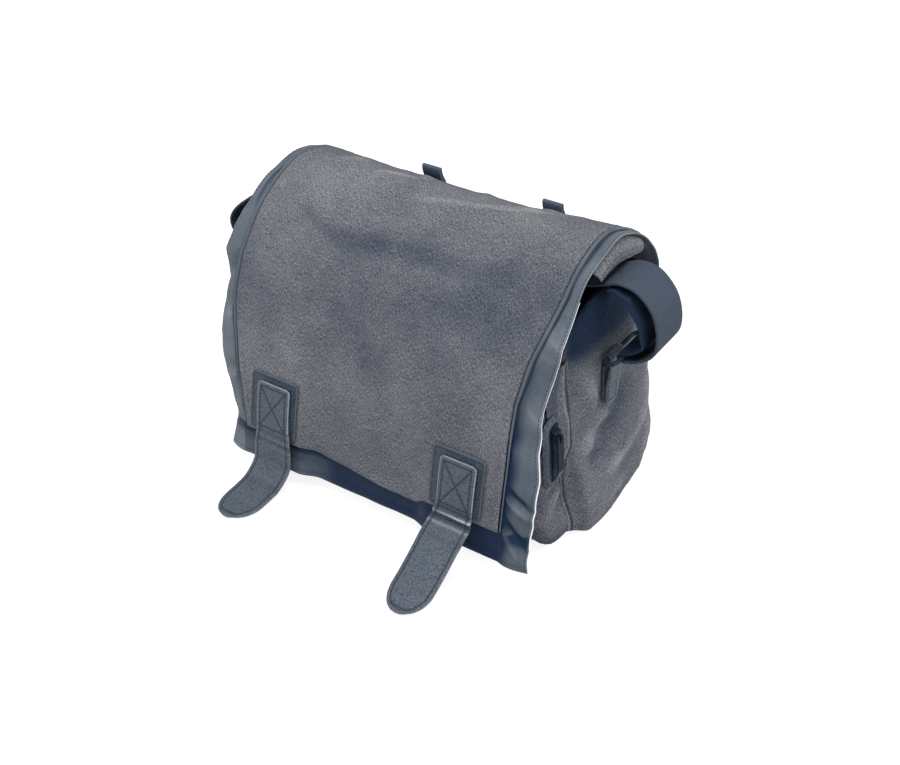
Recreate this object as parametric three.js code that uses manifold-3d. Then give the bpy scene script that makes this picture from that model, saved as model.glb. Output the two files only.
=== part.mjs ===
// Canvas camera shoulder bag: a padded open-topped body with a zipped front pocket, a domed flap of canvas
// on a wider storm lining, two leather tongues, and a webbing strap on a ring at each side.
// Millimetres, +Z up. The front faces -Y, and the origin is the middle of the base, on the floor.

import * as THREE from "three";
import { mergeVertices } from "three/addons/utils/BufferGeometryUtils.js";
import Module from "manifold-3d";

const wasm = await Module();
wasm.setup();

// Gaps and wall thicknesses
const GAP = 0.35;
const BODY_WALL = 6;
const POCKET_WALL = 2.2;
const CANVAS = 1.8;
const LINING = 1.2;
const LEATHER = 2;
const TONGUE_LEATHER = 3;
const WEBBING = 2.2;

// Body: one row for each level, from the floor up. half is the half width at the middle of a side panel.
const BODY_LEVELS = [
  { z: 0, half: 165, front: -65, back: 60, round: 34 },
  { z: 5, half: 167, front: -65, back: 63.5, round: 36 },
  { z: 16, half: 168, front: -66, back: 65.5, round: 38 },
  { z: 60, half: 167, front: -66, back: 67.5, round: 38 },
  { z: 120, half: 161.5, front: -66, back: 67, round: 27 },
  { z: 168, half: 156, front: -66, back: 66.4, round: 19 },
  { z: 182, half: 154, front: -66, back: 66.4, round: 18 },
];
const RIM_Z = BODY_LEVELS.at(-1).z;
const FRONT_ROUND = 9;
const RIM_ARCH = 23;
const SIDE_BULGE = 6;
const BACK_BULGE = 3;
// The side panels stand wider at the front of the base, up to this height
const FLARE = { out: 10, low: 16, high: 90, front: -66, rear: 10 };
const RING_POINTS = 54;

// Soft folds of the side panels: a shallow valley at y, on the side whose sign is given.
const SIDE_FOLDS = [
  { side: 1, y: -38, width: 9, depth: 4, low: 10, high: 150 },
  { side: 1, y: 34, width: 12, depth: 3.5, low: 30, high: 160 },
  { side: -1, y: -36, width: 10, depth: 3.5, low: 15, high: 150 },
  { side: -1, y: 36, width: 12, depth: 4, low: 25, high: 165 },
];

// Front pocket: how far the sides and the front of each level stand in from the full outline. The foot bulges
// sideways and is tucked back, and the top is rounded over.
const POCKET = { half: 151, front: -107, round: 13, rearRound: 4 };
const POCKET_LEVELS = [
  { z: 2, sides: -2, tuck: 10 },
  { z: 6, sides: -6, tuck: 6 },
  { z: 13, sides: -6.5, tuck: 3 },
  { z: 42, sides: 0, tuck: 0 },
  { z: 118, sides: 0, tuck: 0 },
  { z: 129, sides: 3, tuck: 3 },
  { z: 135, sides: 10, tuck: 10 },
];

// Zip on the right gusset of the pocket
const ZIP = { y: -88, low: 66, high: 122, tape: 18, slot: 6, teeth: 5, thick: 1.4, ridge: 1.6 };
const SLIDER = { z: 112, length: 11, width: 8, thick: 3.2, bail: 1.3, rise: 4.2 };
const PULL = { length: 34, width: 8, thick: 1.6, bar: 1.6, window: 4.6, clear: 0.6 };

// Flap: the outer face of the canvas in side view, from the hem on the back panel over the top to the front.
const FLAP_PROFILE = [
  { y: 70.1, z: 172 },
  { y: 70.1, z: 184 },
  { y: 64, z: 197 },
  { y: 52, z: 208 },
  { y: 38, z: 219 },
  { y: 20, z: 231 },
  { y: -5, z: 238 },
  { y: -34, z: 228 },
  { y: -62, z: 207 },
  { y: -85, z: 181 },
  { y: -103, z: 151 },
  { y: -118, z: 118 },
  { y: -131, z: 80 },
  { y: -141, z: 42 },
  { y: -146, z: 15 },
];
const HEM_ABOVE_LINING = 27.5;
// Left and right edges of the canvas, from the middle, at shares of the flap's length
const PANEL_EDGE = [
  { share: 0, left: 147, right: 147 },
  { share: 0.25, left: 145, right: 147 },
  { share: 0.42, left: 152, right: 144 },
  { share: 0.56, left: 155, right: 134 },
  { share: 0.65, left: 151.5, right: 131 },
  { share: 0.78, left: 139.5, right: 133 },
  { share: 0.92, left: 127, right: 133.5 },
  { share: 1, left: 125, right: 134 },
];
// The lining's wings beyond the canvas, left and right, at the same kind of shares
const WING_WIDTH = [
  { share: 0, left: 9, right: 9 },
  { share: 0.15, left: 10, right: 9 },
  { share: 0.3, left: 13, right: 13 },
  { share: 0.42, left: 16.5, right: 12.5 },
  { share: 0.55, left: 24, right: 20.8 },
  { share: 0.61, left: 16, right: 20.7 },
  { share: 0.74, left: 27, right: 21.6 },
  { share: 0.8, left: 27, right: 24.9 },
  { share: 0.93, left: 19, right: 24 },
  { share: 1, left: 25, right: 28 },
];
const WING = { droop: 9, topShare: 0.2, kickLeft: 4, kickRight: 9, panelDip: 4, hemDip: 2 };
// The right end of the flap's top stands higher than the rest
const CROWN = { rise: 7, from: 60, to: 150 };

// The canvas hem hangs lower between the tongues, towards the right one
const HEM_BOW = { depth: 8, from: -60, full: 30, back: 48, to: 64, share: 0.12 };

// Leather pads and tongues on the flap
const TONGUE_X = { left: -97, right: 92.5 };
const PAD = { width: 50, height: 53, aboveHem: 3, corner: 5 };
const TONGUE = { width: 39.5, insetTop: 6, corner: 4, tip: 26 };
// A tongue is narrower where it is sewn to its pad, and lies a little to the right there
const TONGUE_HEAD = { width: 34.5, shift: 2, end: 38, full: 62 };
// The free end of each tongue below its pad: the middle of the leather, falling forward on to the floor.
const TONGUE_FALL = {
  right: [
    { y: -148.5, z: 38 },
    { y: -160, z: 31.5 },
    { y: -180, z: 19.5 },
    { y: -201, z: 8.3 },
    { y: -223, z: 2 },
  ],
  left: [
    { y: -147.5, z: 31 },
    { y: -151.5, z: 17 },
    { y: -164, z: 6 },
    { y: -184, z: 2.4 },
    { y: -209, z: 2 },
  ],
};
const TONGUE_DRIFT = { right: -1, left: -3 };

// Side tabs, rings and strap. The strap's rows run from the ring out, up and in under the flap.
// A tab leans back as it rises: y is its middle at the fold.
const TAB = { y: -15.5, lean: 0.22, width: 18, low: 107, fold: 147, end: 8 };
const RING_WIRE = 2;
const RING = { y: -8, inner: 47, reach: 14, riseDeg: 24, corner: 5 };
const STRAP_WIDTH = 38;
const STRAP_Y = -6;
const STRAP_LOOP = {
  right: [
    { x: 190, z: 154 },
    { x: 203, z: 165 },
    { x: 206.5, z: 182 },
    { x: 202, z: 202 },
    { x: 189, z: 216.5 },
    { x: 173, z: 219.5 },
    { x: 160, z: 214.8 },
  ],
  left: [
    { x: 190, z: 150 },
    { x: 203, z: 159 },
    { x: 207, z: 172 },
    { x: 201, z: 185 },
    { x: 188, z: 196 },
    { x: 173, z: 204.5 },
    { x: 160, z: 210 },
  ],
};
const STRAP_CROSSING = [
  { x: 148, z: 210.5 },
  { x: 128, z: 208 },
  { x: 60, z: 206 },
  { x: 0, z: 205.5 },
];
// How far each loop leans forward where it stands farthest out
const STRAP_LEAN = { right: 0, left: 20 };
// The turned-back end lies inside the loop: its distance from the strap and how far forward it lies,
// along the strap from the ring
const STRAP_BACK = [
  { along: 0, apart: 6.9, forward: 0 },
  { along: 25, apart: 9, forward: 1 },
  { along: 50, apart: 13, forward: 3 },
  { along: 75, apart: 14, forward: 4 },
  { along: 100, apart: 9, forward: 3 },
  { along: 118, apart: 4.5, forward: 2 },
];
// The left loop is smaller, so its turned-back end is shorter by this share
const STRAP_BACK_SHARE = { right: 1, left: 0.85 };

// Ears under the flap's ends, and loops at the back seam
const EAR = { front: -33, back: 36, top: 149, belly: 161, drop: 18, thick: 1.8, clear: 0.9 };
const LOOP = { left: -64.5, right: 58.5, width: 18.5, thick: 1.7 };
// The inner layer of a back loop: sewn flat below, leaning with the flap, then standing up
const LOOP_RISE = [
  { y: 71.4, z: 174 },
  { y: 71.4, z: 184 },
  { y: 67.8, z: 195 },
  { y: 64.2, z: 203 },
  { y: 63, z: 207 },
  { y: 62.8, z: 211 },
];

const material = (hex, roughness, metalness = 0) =>
  new THREE.MeshStandardMaterial({ color: hex, roughness, metalness });
const FINISH = {
  canvas: material(0x55565c, 0.95),
  lining: material(0x3b434d, 0.6),
  leather: material(0x3f474f, 0.65),
  webbing: material(0x2c333d, 0.85),
  tape: material(0x1a2029, 0.8),
  metal: material(0x2a2d33, 0.35, 0.9),
};

const V2 = (a, b) => new THREE.Vector2(a, b);
const V3 = (x, y, z) => new THREE.Vector3(x, y, z);
const { lerp, smoothstep, clamp, degToRad } = THREE.MathUtils;

// A geometry with doubled points merged and empty faces removed
function tidied(geometry) {
  geometry.deleteAttribute("normal");
  geometry.deleteAttribute("uv");
  const merged = mergeVertices(geometry, 1e-3);
  const index = merged.index.array;
  const kept = [];
  for (let i = 0; i < index.length; i += 3) {
    const [a, b, c] = [index[i], index[i + 1], index[i + 2]];
    if (a !== b && b !== c && c !== a) kept.push(a, b, c);
  }
  return merged.setIndex(kept);
}

function geometryOf(points, faces) {
  return tidied(new THREE.BufferGeometry().setFromPoints(points).setIndex(faces.flat()));
}

function solidOf(geometry) {
  return new wasm.Manifold(
    new wasm.Mesh({
      numProp: 3,
      vertProperties: geometry.attributes.position.array,
      triVerts: new Uint32Array(geometry.index.array),
    }),
  );
}

function geometryOfSolid(solid) {
  const mesh = solid.getMesh();
  return new THREE.BufferGeometry()
    .setAttribute("position", new THREE.BufferAttribute(mesh.vertProperties, 3))
    .setIndex(new THREE.BufferAttribute(mesh.triVerts, 1));
}

// Rings of equal count skinned one to the next. joined closes the last on the first; if not, both ends
// are capped.
function skin(rings, joined = false) {
  const count = rings[0].length;
  const points = rings.flat();
  const faces = [];
  const spans = joined ? rings.length : rings.length - 1;
  for (let i = 0; i < spans; i++) {
    const lower = i * count;
    const upper = ((i + 1) % rings.length) * count;
    for (let j = 0; j < count; j++) {
      const k = (j + 1) % count;
      faces.push([lower + j, lower + k, upper + k], [lower + j, upper + k, upper + j]);
    }
  }
  if (!joined) {
    capRing(points, faces, 0, count, true);
    capRing(points, faces, (rings.length - 1) * count, count, false);
  }
  return geometryOf(points, faces);
}

function capRing(points, faces, start, count, reversed) {
  const middle = V3(0, 0, 0);
  for (let j = 0; j < count; j++) middle.addScaledVector(points[start + j], 1 / count);
  const centre = points.push(middle) - 1;
  for (let j = 0; j < count; j++) {
    const [a, b] = [start + j, start + ((j + 1) % count)];
    faces.push(reversed ? [centre, b, a] : [centre, a, b]);
  }
}

// A wall between two grids of points, outer[i][j] and inner[i][j], closed along its four edges.
function wall(outer, inner) {
  const rows = outer.length;
  const columns = outer[0].length;
  const points = [...outer.flat(), ...inner.flat()];
  const at = (face, i, j) => (face * rows + i) * columns + j;
  const faces = [];
  const quad = (a, b, c, d) => faces.push([a, b, c], [a, c, d]);
  for (let i = 0; i < rows - 1; i++) {
    for (let j = 0; j < columns - 1; j++) {
      quad(at(0, i, j), at(0, i, j + 1), at(0, i + 1, j + 1), at(0, i + 1, j));
      quad(at(1, i, j), at(1, i + 1, j), at(1, i + 1, j + 1), at(1, i, j + 1));
    }
    quad(at(0, i, 0), at(0, i + 1, 0), at(1, i + 1, 0), at(1, i, 0));
    quad(at(0, i + 1, columns - 1), at(0, i, columns - 1), at(1, i, columns - 1), at(1, i + 1, columns - 1));
  }
  for (let j = 0; j < columns - 1; j++) {
    quad(at(0, 0, j + 1), at(0, 0, j), at(1, 0, j), at(1, 0, j + 1));
    quad(at(0, rows - 1, j), at(0, rows - 1, j + 1), at(1, rows - 1, j + 1), at(1, rows - 1, j));
  }
  const made = geometryOf(points, faces);
  if (solidOf(made).volume() < 0) {
    const index = made.index.array;
    for (let i = 0; i < index.length; i += 3) [index[i], index[i + 1]] = [index[i + 1], index[i]];
  }
  return made;
}

// The left-hand normal at each point of an open line of 2D points.
function lineNormals(line) {
  return line.map((_, i) => {
    const before = line[Math.max(i - 1, 0)];
    const after = line[Math.min(i + 1, line.length - 1)];
    const run = after.clone().sub(before).normalize();
    return V2(-run.y, run.x);
  });
}

// A flat band along a line drawn in a plane: place(a, b, across) puts it in space, half(i) is its half width.
function band(line, thick, half, columns, place) {
  const normals = lineNormals(line);
  const face = (side) =>
    line.map((p, i) =>
      Array.from({ length: columns + 1 }, (_, j) => {
        const q = p.clone().addScaledVector(normals[i], (side * thick) / 2);
        return place(q.x, q.y, lerp(-half(i), half(i), j / columns), i);
      }),
    );
  return wall(face(1), face(-1));
}

// Half width of a strip with rounded ends: length along it, and the end radii, both at most half the width.
function roundedHalf(half, along, length, startRadius, endRadius) {
  const drop = (distance, radius) =>
    distance >= radius ? 0 : radius - Math.sqrt(Math.max(0, radius ** 2 - (radius - distance) ** 2));
  return half - Math.max(drop(along, startRadius), drop(length - along, endRadius));
}

function alongLine(line) {
  let total = 0;
  return line.map((p, i) => (total += i ? p.distanceTo(line[i - 1]) : 0));
}

const splineThrough = (rows, a, b) => new THREE.SplineCurve(rows.map((row) => V2(row[a], row[b])));

// A value read from rows by straight lines between them
function readRows(rows, key, at, column) {
  const upper = clamp(
    rows.findIndex((row) => row[key] >= at),
    1,
    rows.length - 1,
  );
  const [low, high] = [rows[upper - 1], rows[upper]];
  return lerp(low[column], high[column], clamp((at - low[key]) / (high[key] - low[key]), 0, 1));
}

// Body levels at any height
function bodyLevel(z) {
  const level = { z };
  for (const key of ["half", "front", "back", "round"]) level[key] = readRows(BODY_LEVELS, "z", z, key);
  return level;
}

const sidePanelX = (z) => bodyLevel(z).half;
const rimRise = (y) => RIM_ARCH * Math.max(0, 1 - (y / 64) ** 2);

// A rounded rectangle whose side panels and back panel bulge between soft corners
function softRectangle({ half, front, back, round, frontRound }, sideBulge, backBulge) {
  const corner = half - sideBulge;
  const rear = back - backBulge;
  const shape = new THREE.Shape();
  shape.moveTo(corner - frontRound, front);
  shape.quadraticCurveTo(corner, front, corner, front + frontRound);
  shape.quadraticCurveTo(corner + 2 * sideBulge, (front + rear) / 2, corner, rear - round);
  shape.quadraticCurveTo(corner, rear, corner - round, rear);
  shape.quadraticCurveTo(0, rear + 2 * backBulge, round - corner, rear);
  shape.quadraticCurveTo(-corner, rear, -corner, rear - round);
  shape.quadraticCurveTo(-corner - 2 * sideBulge, (front + rear) / 2, -corner, front + frontRound);
  shape.quadraticCurveTo(-corner, front, frontRound - corner, front);
  shape.closePath();
  return shape;
}

function foldDepth(x, y, z) {
  let depth = 0;
  for (const fold of SIDE_FOLDS) {
    if (Math.sign(x) !== fold.side) continue;
    const window = smoothstep(z, fold.low, fold.low + 30) * (1 - smoothstep(z, fold.high - 30, fold.high));
    depth += fold.depth * window * Math.exp(-(((y - fold.y) / fold.width) ** 2));
  }
  return depth;
}

function bodyRing(z, inset, floor) {
  const level = bodyLevel(z);
  const outline = softRectangle(
    {
      half: level.half - inset,
      front: level.front + inset,
      back: level.back - inset,
      round: level.round - inset,
      frontRound: FRONT_ROUND - inset,
    },
    SIDE_BULGE,
    BACK_BULGE,
  );
  const points = outline.getSpacedPoints(RING_POINTS).slice(0, RING_POINTS);
  return points.map(({ x, y }) => {
    const onSide = smoothstep(Math.abs(x), level.half - 30, level.half - 12);
    const toFront = 1 - smoothstep(y, FLARE.front, FLARE.rear);
    const flare = FLARE.out * toFront * (1 - smoothstep(z, FLARE.low, FLARE.high));
    const height = z === RIM_Z ? z + rimRise(y) : Math.max(z, floor);
    return V3(x + Math.sign(x) * onSide * (flare - foldDepth(x, y, z)), y, height);
  });
}

function bodyShell() {
  const levels = BODY_LEVELS.map((row) => row.z);
  const outer = levels.map((z) => bodyRing(z, 0, 0));
  const inner = levels
    .filter((z) => z !== 5)
    .reverse()
    .map((z) => bodyRing(z, BODY_WALL, BODY_WALL));
  return skin([...outer, ...inner]);
}

function pocketSolid(inset) {
  const rings = POCKET_LEVELS.map(({ z, sides, tuck }, i) => {
    const level = {
      half: POCKET.half - inset - sides,
      front: POCKET.front + inset + tuck,
      back: BODY_LEVELS[3].front - GAP - inset,
      round: POCKET.rearRound - inset,
      frontRound: POCKET.round - inset,
    };
    const lift = i < 2 ? inset : z > ZIP.high ? -inset : 0;
    const outline = softRectangle(level, 0, 0).getSpacedPoints(34).slice(0, 34);
    return outline.map(({ x, y }) => V3(x, y, z + lift));
  });
  return solidOf(skin(rings));
}

function frontPocket() {
  const slot = tidied(new THREE.BoxGeometry(30, ZIP.slot, ZIP.high - ZIP.low - 12));
  slot.translate(POCKET.half, ZIP.y, (ZIP.high + ZIP.low) / 2);
  return geometryOfSolid(pocketSolid(0).subtract(pocketSolid(POCKET_WALL)).subtract(solidOf(slot)));
}

// Zip tape with its row of teeth, drawn across the gusset and extruded up it
function zipTape() {
  const [edge, tooth] = [ZIP.tape / 2, ZIP.teeth / 2];
  const section = new THREE.Shape([
    V2(0, -edge),
    V2(ZIP.thick, -edge),
    V2(ZIP.thick, -tooth),
    V2(ZIP.thick + ZIP.ridge, -tooth * 0.7),
    V2(ZIP.thick + ZIP.ridge, tooth * 0.7),
    V2(ZIP.thick, tooth),
    V2(ZIP.thick, edge),
    V2(0, edge),
  ]);
  const tape = new THREE.ExtrudeGeometry(section, { depth: ZIP.high - ZIP.low, bevelEnabled: false });
  return tidied(tape.translate(POCKET.half + GAP, ZIP.y, ZIP.low));
}

const SLIDER_BACK = POCKET.half + 2 * GAP + ZIP.thick + ZIP.ridge;
const PULL_AXIS = { x: SLIDER_BACK + SLIDER.thick + PULL.clear + PULL.bar / 2, z: SLIDER.z };

// Slider body with a bail that stands off its face, drawn in side view and extruded across
function zipSlider() {
  const half = SLIDER.length / 2;
  const bodyShape = new THREE.Shape();
  bodyShape.moveTo(0, -half);
  bodyShape.lineTo(SLIDER.thick, 1 - half);
  bodyShape.lineTo(SLIDER.thick, half - 1);
  bodyShape.lineTo(0, half);
  bodyShape.closePath();
  const bailShape = new THREE.Shape();
  const foot = half - 2;
  bailShape.moveTo(SLIDER.thick - 0.5, -foot);
  bailShape.lineTo(SLIDER.thick + SLIDER.rise, -foot * 0.7);
  bailShape.lineTo(SLIDER.thick + SLIDER.rise, foot * 0.7);
  bailShape.lineTo(SLIDER.thick - 0.5, foot);
  bailShape.lineTo(SLIDER.thick - 0.5, foot - SLIDER.bail);
  bailShape.lineTo(SLIDER.thick + SLIDER.rise - SLIDER.bail, foot * 0.7 - 0.8);
  bailShape.lineTo(SLIDER.thick + SLIDER.rise - SLIDER.bail, 0.8 - foot * 0.7);
  bailShape.lineTo(SLIDER.thick - 0.5, SLIDER.bail - foot);
  bailShape.closePath();
  const across = (shape, width) => {
    const solid = new THREE.ExtrudeGeometry(shape, { depth: width, bevelEnabled: false });
    solid.translate(0, 0, -width / 2).rotateX(Math.PI / 2);
    return solidOf(tidied(solid.translate(SLIDER_BACK, ZIP.y, SLIDER.z)));
  };
  return geometryOfSolid(across(bodyShape, SLIDER.width).add(across(bailShape, 2)));
}

// Pull with a window at its top: the bar above the window turns under the slider's bail
function zipPull() {
  const half = PULL.width / 2;
  const top = PULL.bar / 2;
  const outline = new THREE.Shape();
  outline.moveTo(-half + 1, top);
  outline.lineTo(half - 1, top);
  outline.lineTo(half, top - 1);
  outline.absarc(0, -PULL.length + half, half, 0, -Math.PI, true);
  outline.lineTo(-half, top - 1);
  outline.closePath();
  const opening = new THREE.Path([
    V2(-half + 1.8, -top),
    V2(-half + 1.8, -top - PULL.window),
    V2(half - 1.8, -top - PULL.window),
    V2(half - 1.8, -top),
  ]);
  outline.holes.push(opening);
  const plate = new THREE.ExtrudeGeometry(outline, {
    depth: PULL.thick,
    bevelEnabled: false,
    curveSegments: 6,
  });
  plate.translate(0, 0, -PULL.thick / 2).rotateX(Math.PI / 2).rotateZ(Math.PI / 2);
  return tidied(plate.translate(PULL_AXIS.x, ZIP.y, PULL_AXIS.z));
}

const flapCurve = splineThrough(FLAP_PROFILE, "y", "z");
flapCurve.arcLengthDivisions = 400;
const FLAP_LENGTH = flapCurve.getLength();
const CANVAS_HEM = 1 - HEM_ABOVE_LINING / FLAP_LENGTH;
const panelEdge = (u, word) => readRows(PANEL_EDGE, "share", u, word);
const wingWidth = (u, word) => readRows(WING_WIDTH, "share", u, word);

// A point of the flap: u runs from the rear hem to the lining's front hem, depth lies under the canvas.
function flapPoint(u, x, depth) {
  const p = flapCurve.getPointAt(clamp(u, 0, 1));
  const t = flapCurve.getTangentAt(clamp(u, 0, 1));
  const word = x < 0 ? "left" : "right";
  const outOfPanel = clamp((Math.abs(x) - panelEdge(u, word)) / wingWidth(u, word), 0, 1);
  const fall = WING.topShare * smoothstep(u, 0.12, 0.4) + (1 - WING.topShare) * smoothstep(u, 0.42, 0.7);
  const droop = WING.droop * outOfPanel ** 2 * fall;
  const kick = (x < 0 ? WING.kickLeft : WING.kickRight) * outOfPanel * smoothstep(u, 0.9, 1);
  const fromPads = Math.min(x - TONGUE_X.left, TONGUE_X.right - x);
  const sag = WING.panelDip * smoothstep(u, 0.6, 0.93) + WING.hemDip * smoothstep(u, 0.9, 1);
  const dip = sag * smoothstep(fromPads, 26, 46);
  const onCrown = smoothstep(u, 0.04, 0.16) * (1 - smoothstep(u, 0.36, 0.5));
  const crown = CROWN.rise * smoothstep(x, CROWN.from, CROWN.to) * onCrown;
  const lift = crown + kick - droop - dip - depth;
  return V3(x, p.x + t.y * lift, p.y - t.x * lift);
}

// A wall laid on the flap: shares lists its rows, across(u) its columns, and depth is that of its upper face.
function flapWall(shares, across, depth, thick, lower = (u) => u) {
  const face = (level) => shares.map((u) => across(u).map((x) => flapPoint(lower(u, x), x, level)));
  return wall(face(depth), face(depth + thick));
}

// Share of the length at which a row of the canvas lies, lower where its hem bows
function bowed(u, x) {
  const bow = smoothstep(x, HEM_BOW.from, HEM_BOW.full) * (1 - smoothstep(x, HEM_BOW.back, HEM_BOW.to));
  return u + (HEM_BOW.depth / FLAP_LENGTH) * bow * smoothstep(u, CANVAS_HEM - HEM_BOW.share, CANVAS_HEM);
}

const steps = (from, to, count) => Array.from({ length: count + 1 }, (_, i) => lerp(from, to, i / count));
const panelColumns = (u) => steps(-panelEdge(u, "left"), panelEdge(u, "right"), 14);

function liningColumns(u) {
  const [left, right] = [-panelEdge(u, "left"), panelEdge(u, "right")];
  const leftWing = steps(left - wingWidth(u, "left"), left, 3).slice(0, -1);
  const rightWing = steps(right, right + wingWidth(u, "right"), 3).slice(1);
  return [...leftWing, ...panelColumns(u), ...rightWing];
}

const LINING_DEPTH = CANVAS + GAP;
const PANEL_ROWS = steps(0, CANVAS_HEM, 25);
const LINING_ROWS = [...PANEL_ROWS, ...steps(CANVAS_HEM, 1, 2).slice(1)];
const flapCanvas = () => flapWall(PANEL_ROWS, panelColumns, 0, CANVAS, bowed);
const flapLining = () => flapWall(LINING_ROWS, liningColumns, LINING_DEPTH, LINING);

const PAD_END = CANVAS_HEM - PAD.aboveHem / FLAP_LENGTH;
const PAD_START = PAD_END - PAD.height / FLAP_LENGTH;

function leatherPad(middle) {
  const half = (u) => {
    const along = (u - PAD_START) * FLAP_LENGTH;
    return roundedHalf(PAD.width / 2, along, PAD.height, PAD.corner, PAD.corner);
  };
  const across = (u) => steps(middle - half(u), middle + half(u), 4);
  return flapWall(steps(PAD_START, PAD_END, 12), across, -GAP - LEATHER, LEATHER);
}

// Tongue: sewn flat on its pad, then free, with a rounded tip. The line is the middle of its thickness.
function tongue(side, middle) {
  const level = -(2 * GAP + LEATHER + TONGUE_LEATHER / 2);
  const sewn = [0, 0.33, 0.66, 0.94].map((share) => {
    const u = lerp(PAD_START + TONGUE.insetTop / FLAP_LENGTH, PAD_END, share);
    const p = flapPoint(u, middle, level);
    return V2(p.y, p.z);
  });
  const free = TONGUE_FALL[side].map(({ y, z }) => V2(y, z));
  const line = new THREE.SplineCurve([...sewn, ...free]).getSpacedPoints(28);
  const along = alongLine(line);
  const length = along.at(-1);
  const below = (i) => smoothstep(along[i], TONGUE_HEAD.end, TONGUE_HEAD.full);
  const half = (i) => {
    const width = lerp(TONGUE_HEAD.width, TONGUE.width, below(i));
    const corner = roundedHalf(width / 2, along[i], length, TONGUE.corner, 0);
    const left = clamp((length - along[i]) / TONGUE.tip, 0, 1);
    return corner * Math.max(0.16, Math.sqrt(1 - (1 - left) ** 2));
  };
  return band(line, TONGUE_LEATHER, half, 4, (y, z, across, i) => {
    const drift = TONGUE_DRIFT[side] * (along[i] / length) ** 2 + TONGUE_HEAD.shift * (1 - below(i));
    return V3(middle + drift + across, y, z);
  });
}

// Ring bars: the lower bar lies in the tab's fold and the upper bar carries the strap.
const TAB_TURN = RING_WIRE + GAP + LEATHER / 2;
const STRAP_TURN = RING_WIRE + GAP + WEBBING / 2;
const LOWER_BAR = V2(sidePanelX(TAB.fold) + GAP + LEATHER / 2 + TAB_TURN, TAB.fold);
const UPPER_BAR = LOWER_BAR.clone().add(
  V2(Math.cos(degToRad(RING.riseDeg)), Math.sin(degToRad(RING.riseDeg))).multiplyScalar(RING.reach),
);

const arcPoints = (centre, radius, startDeg, endDeg, steps) =>
  Array.from({ length: steps + 1 }, (_, i) => {
    const angle = degToRad(lerp(startDeg, endDeg, i / steps));
    return V2(centre.x + radius * Math.cos(angle), centre.y + radius * Math.sin(angle));
  });

// Leather tab: up the side panel, round the ring's lower bar and down again over itself
function sideTab(side) {
  const levels = [TAB.low, 115, 123, 131, 140];
  const under = levels.map((z) => V2(sidePanelX(z) + GAP + LEATHER / 2, z));
  const over = levels.map((z) => {
    const spread = smoothstep(z, 118, TAB.fold) * (2 * TAB_TURN - LEATHER - GAP);
    return V2(sidePanelX(z) + 2 * GAP + LEATHER * 1.5 + spread, z);
  });
  const line = denser([...under, ...arcPoints(LOWER_BAR, TAB_TURN, 180, 0, 8), ...over.reverse()]);
  const along = alongLine(line);
  const half = (i) => roundedHalf(TAB.width / 2, along[i], along.at(-1), TAB.end, TAB.end);
  return band(line, LEATHER, half, 4, (x, z, across) =>
    V3(side * x, TAB.y + TAB.lean * (z - TAB.fold) + across, z),
  );
}

// Extra points near both ends of a line, so that a rounded end is round
function denser(line) {
  const insert = (a, b) => [0.12, 0.35, 0.65].map((share) => a.clone().lerp(b, share));
  const last = line.length - 1;
  const tail = insert(line[last], line[last - 1]).reverse();
  return [line[0], ...insert(line[0], line[1]), ...line.slice(1, last), ...tail, line[last]];
}

function sideRing(side) {
  const half = RING.inner / 2 + RING_WIRE;
  const reach = RING.reach;
  const outline = new THREE.Shape();
  const r = RING.corner;
  outline.moveTo(-half + r, 0);
  outline.lineTo(half - r, 0);
  outline.absarc(half - r, r, r, -Math.PI / 2, 0, false);
  outline.absarc(half - r, reach - r, r, 0, Math.PI / 2, false);
  outline.absarc(r - half, reach - r, r, Math.PI / 2, Math.PI, false);
  outline.absarc(r - half, r, r, Math.PI, Math.PI * 1.5, false);
  const path = outline.getPoints(3).slice(0, -1);
  const line = path.filter((p, i) => p.distanceTo(path[(i + 1) % path.length]) > 0.01);
  const out = V3(Math.cos(degToRad(RING.riseDeg)), 0, Math.sin(degToRad(RING.riseDeg)));
  const up = V3(-out.z, 0, out.x);
  const foot = V3(LOWER_BAR.x, RING.y, LOWER_BAR.y);
  const sides = 6;
  const rings = line.map((p, i) => {
    const before = line[(i + line.length - 1) % line.length];
    const after = line[(i + 1) % line.length];
    const run = after.clone().sub(before).normalize();
    const flat = V2(-run.y, run.x);
    return Array.from({ length: sides }, (_, k) => {
      const angle = (2 * Math.PI * (k + 0.5)) / sides;
      const q = p.clone().addScaledVector(flat, RING_WIRE * Math.cos(angle));
      const point = foot.clone().addScaledVector(out, q.y);
      point.addScaledVector(up, RING_WIRE * Math.sin(angle));
      return V3(side * point.x, RING.y + q.x, point.z);
    });
  });
  const made = skin(rings, true);
  return solidOf(made).volume() < 0 ? skin(rings.reverse(), true) : made;
}

// Strap: its end turned back round the ring, out in a loop, in under the flap and across to the other side.
// Each point carries how far forward the band lies there.
function strapHalfLine(word) {
  const start = { x: UPPER_BAR.x, z: UPPER_BAR.y - STRAP_TURN };
  const curve = splineThrough([start, ...STRAP_LOOP[word], ...STRAP_CROSSING], "x", "z");
  curve.arcLengthDivisions = 400;
  const length = curve.getLength();
  const back = steps(STRAP_BACK.at(-1).along, 3, 16).map((along) => {
    const place = (along * STRAP_BACK_SHARE[word]) / length;
    const run = curve.getTangentAt(place);
    const apart = readRows(STRAP_BACK, "along", along, "apart");
    const point = curve.getPointAt(place).add(V2(-run.y, run.x).multiplyScalar(apart));
    return { point, forward: readRows(STRAP_BACK, "along", along, "forward") };
  });
  const turn = arcPoints(UPPER_BAR, STRAP_TURN, 90, 270, 8).slice(0, -1);
  const rest = [...turn, ...curve.getSpacedPoints(38)].map((point) => ({ point, forward: 0 }));
  return [...back, ...rest];
}

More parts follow.
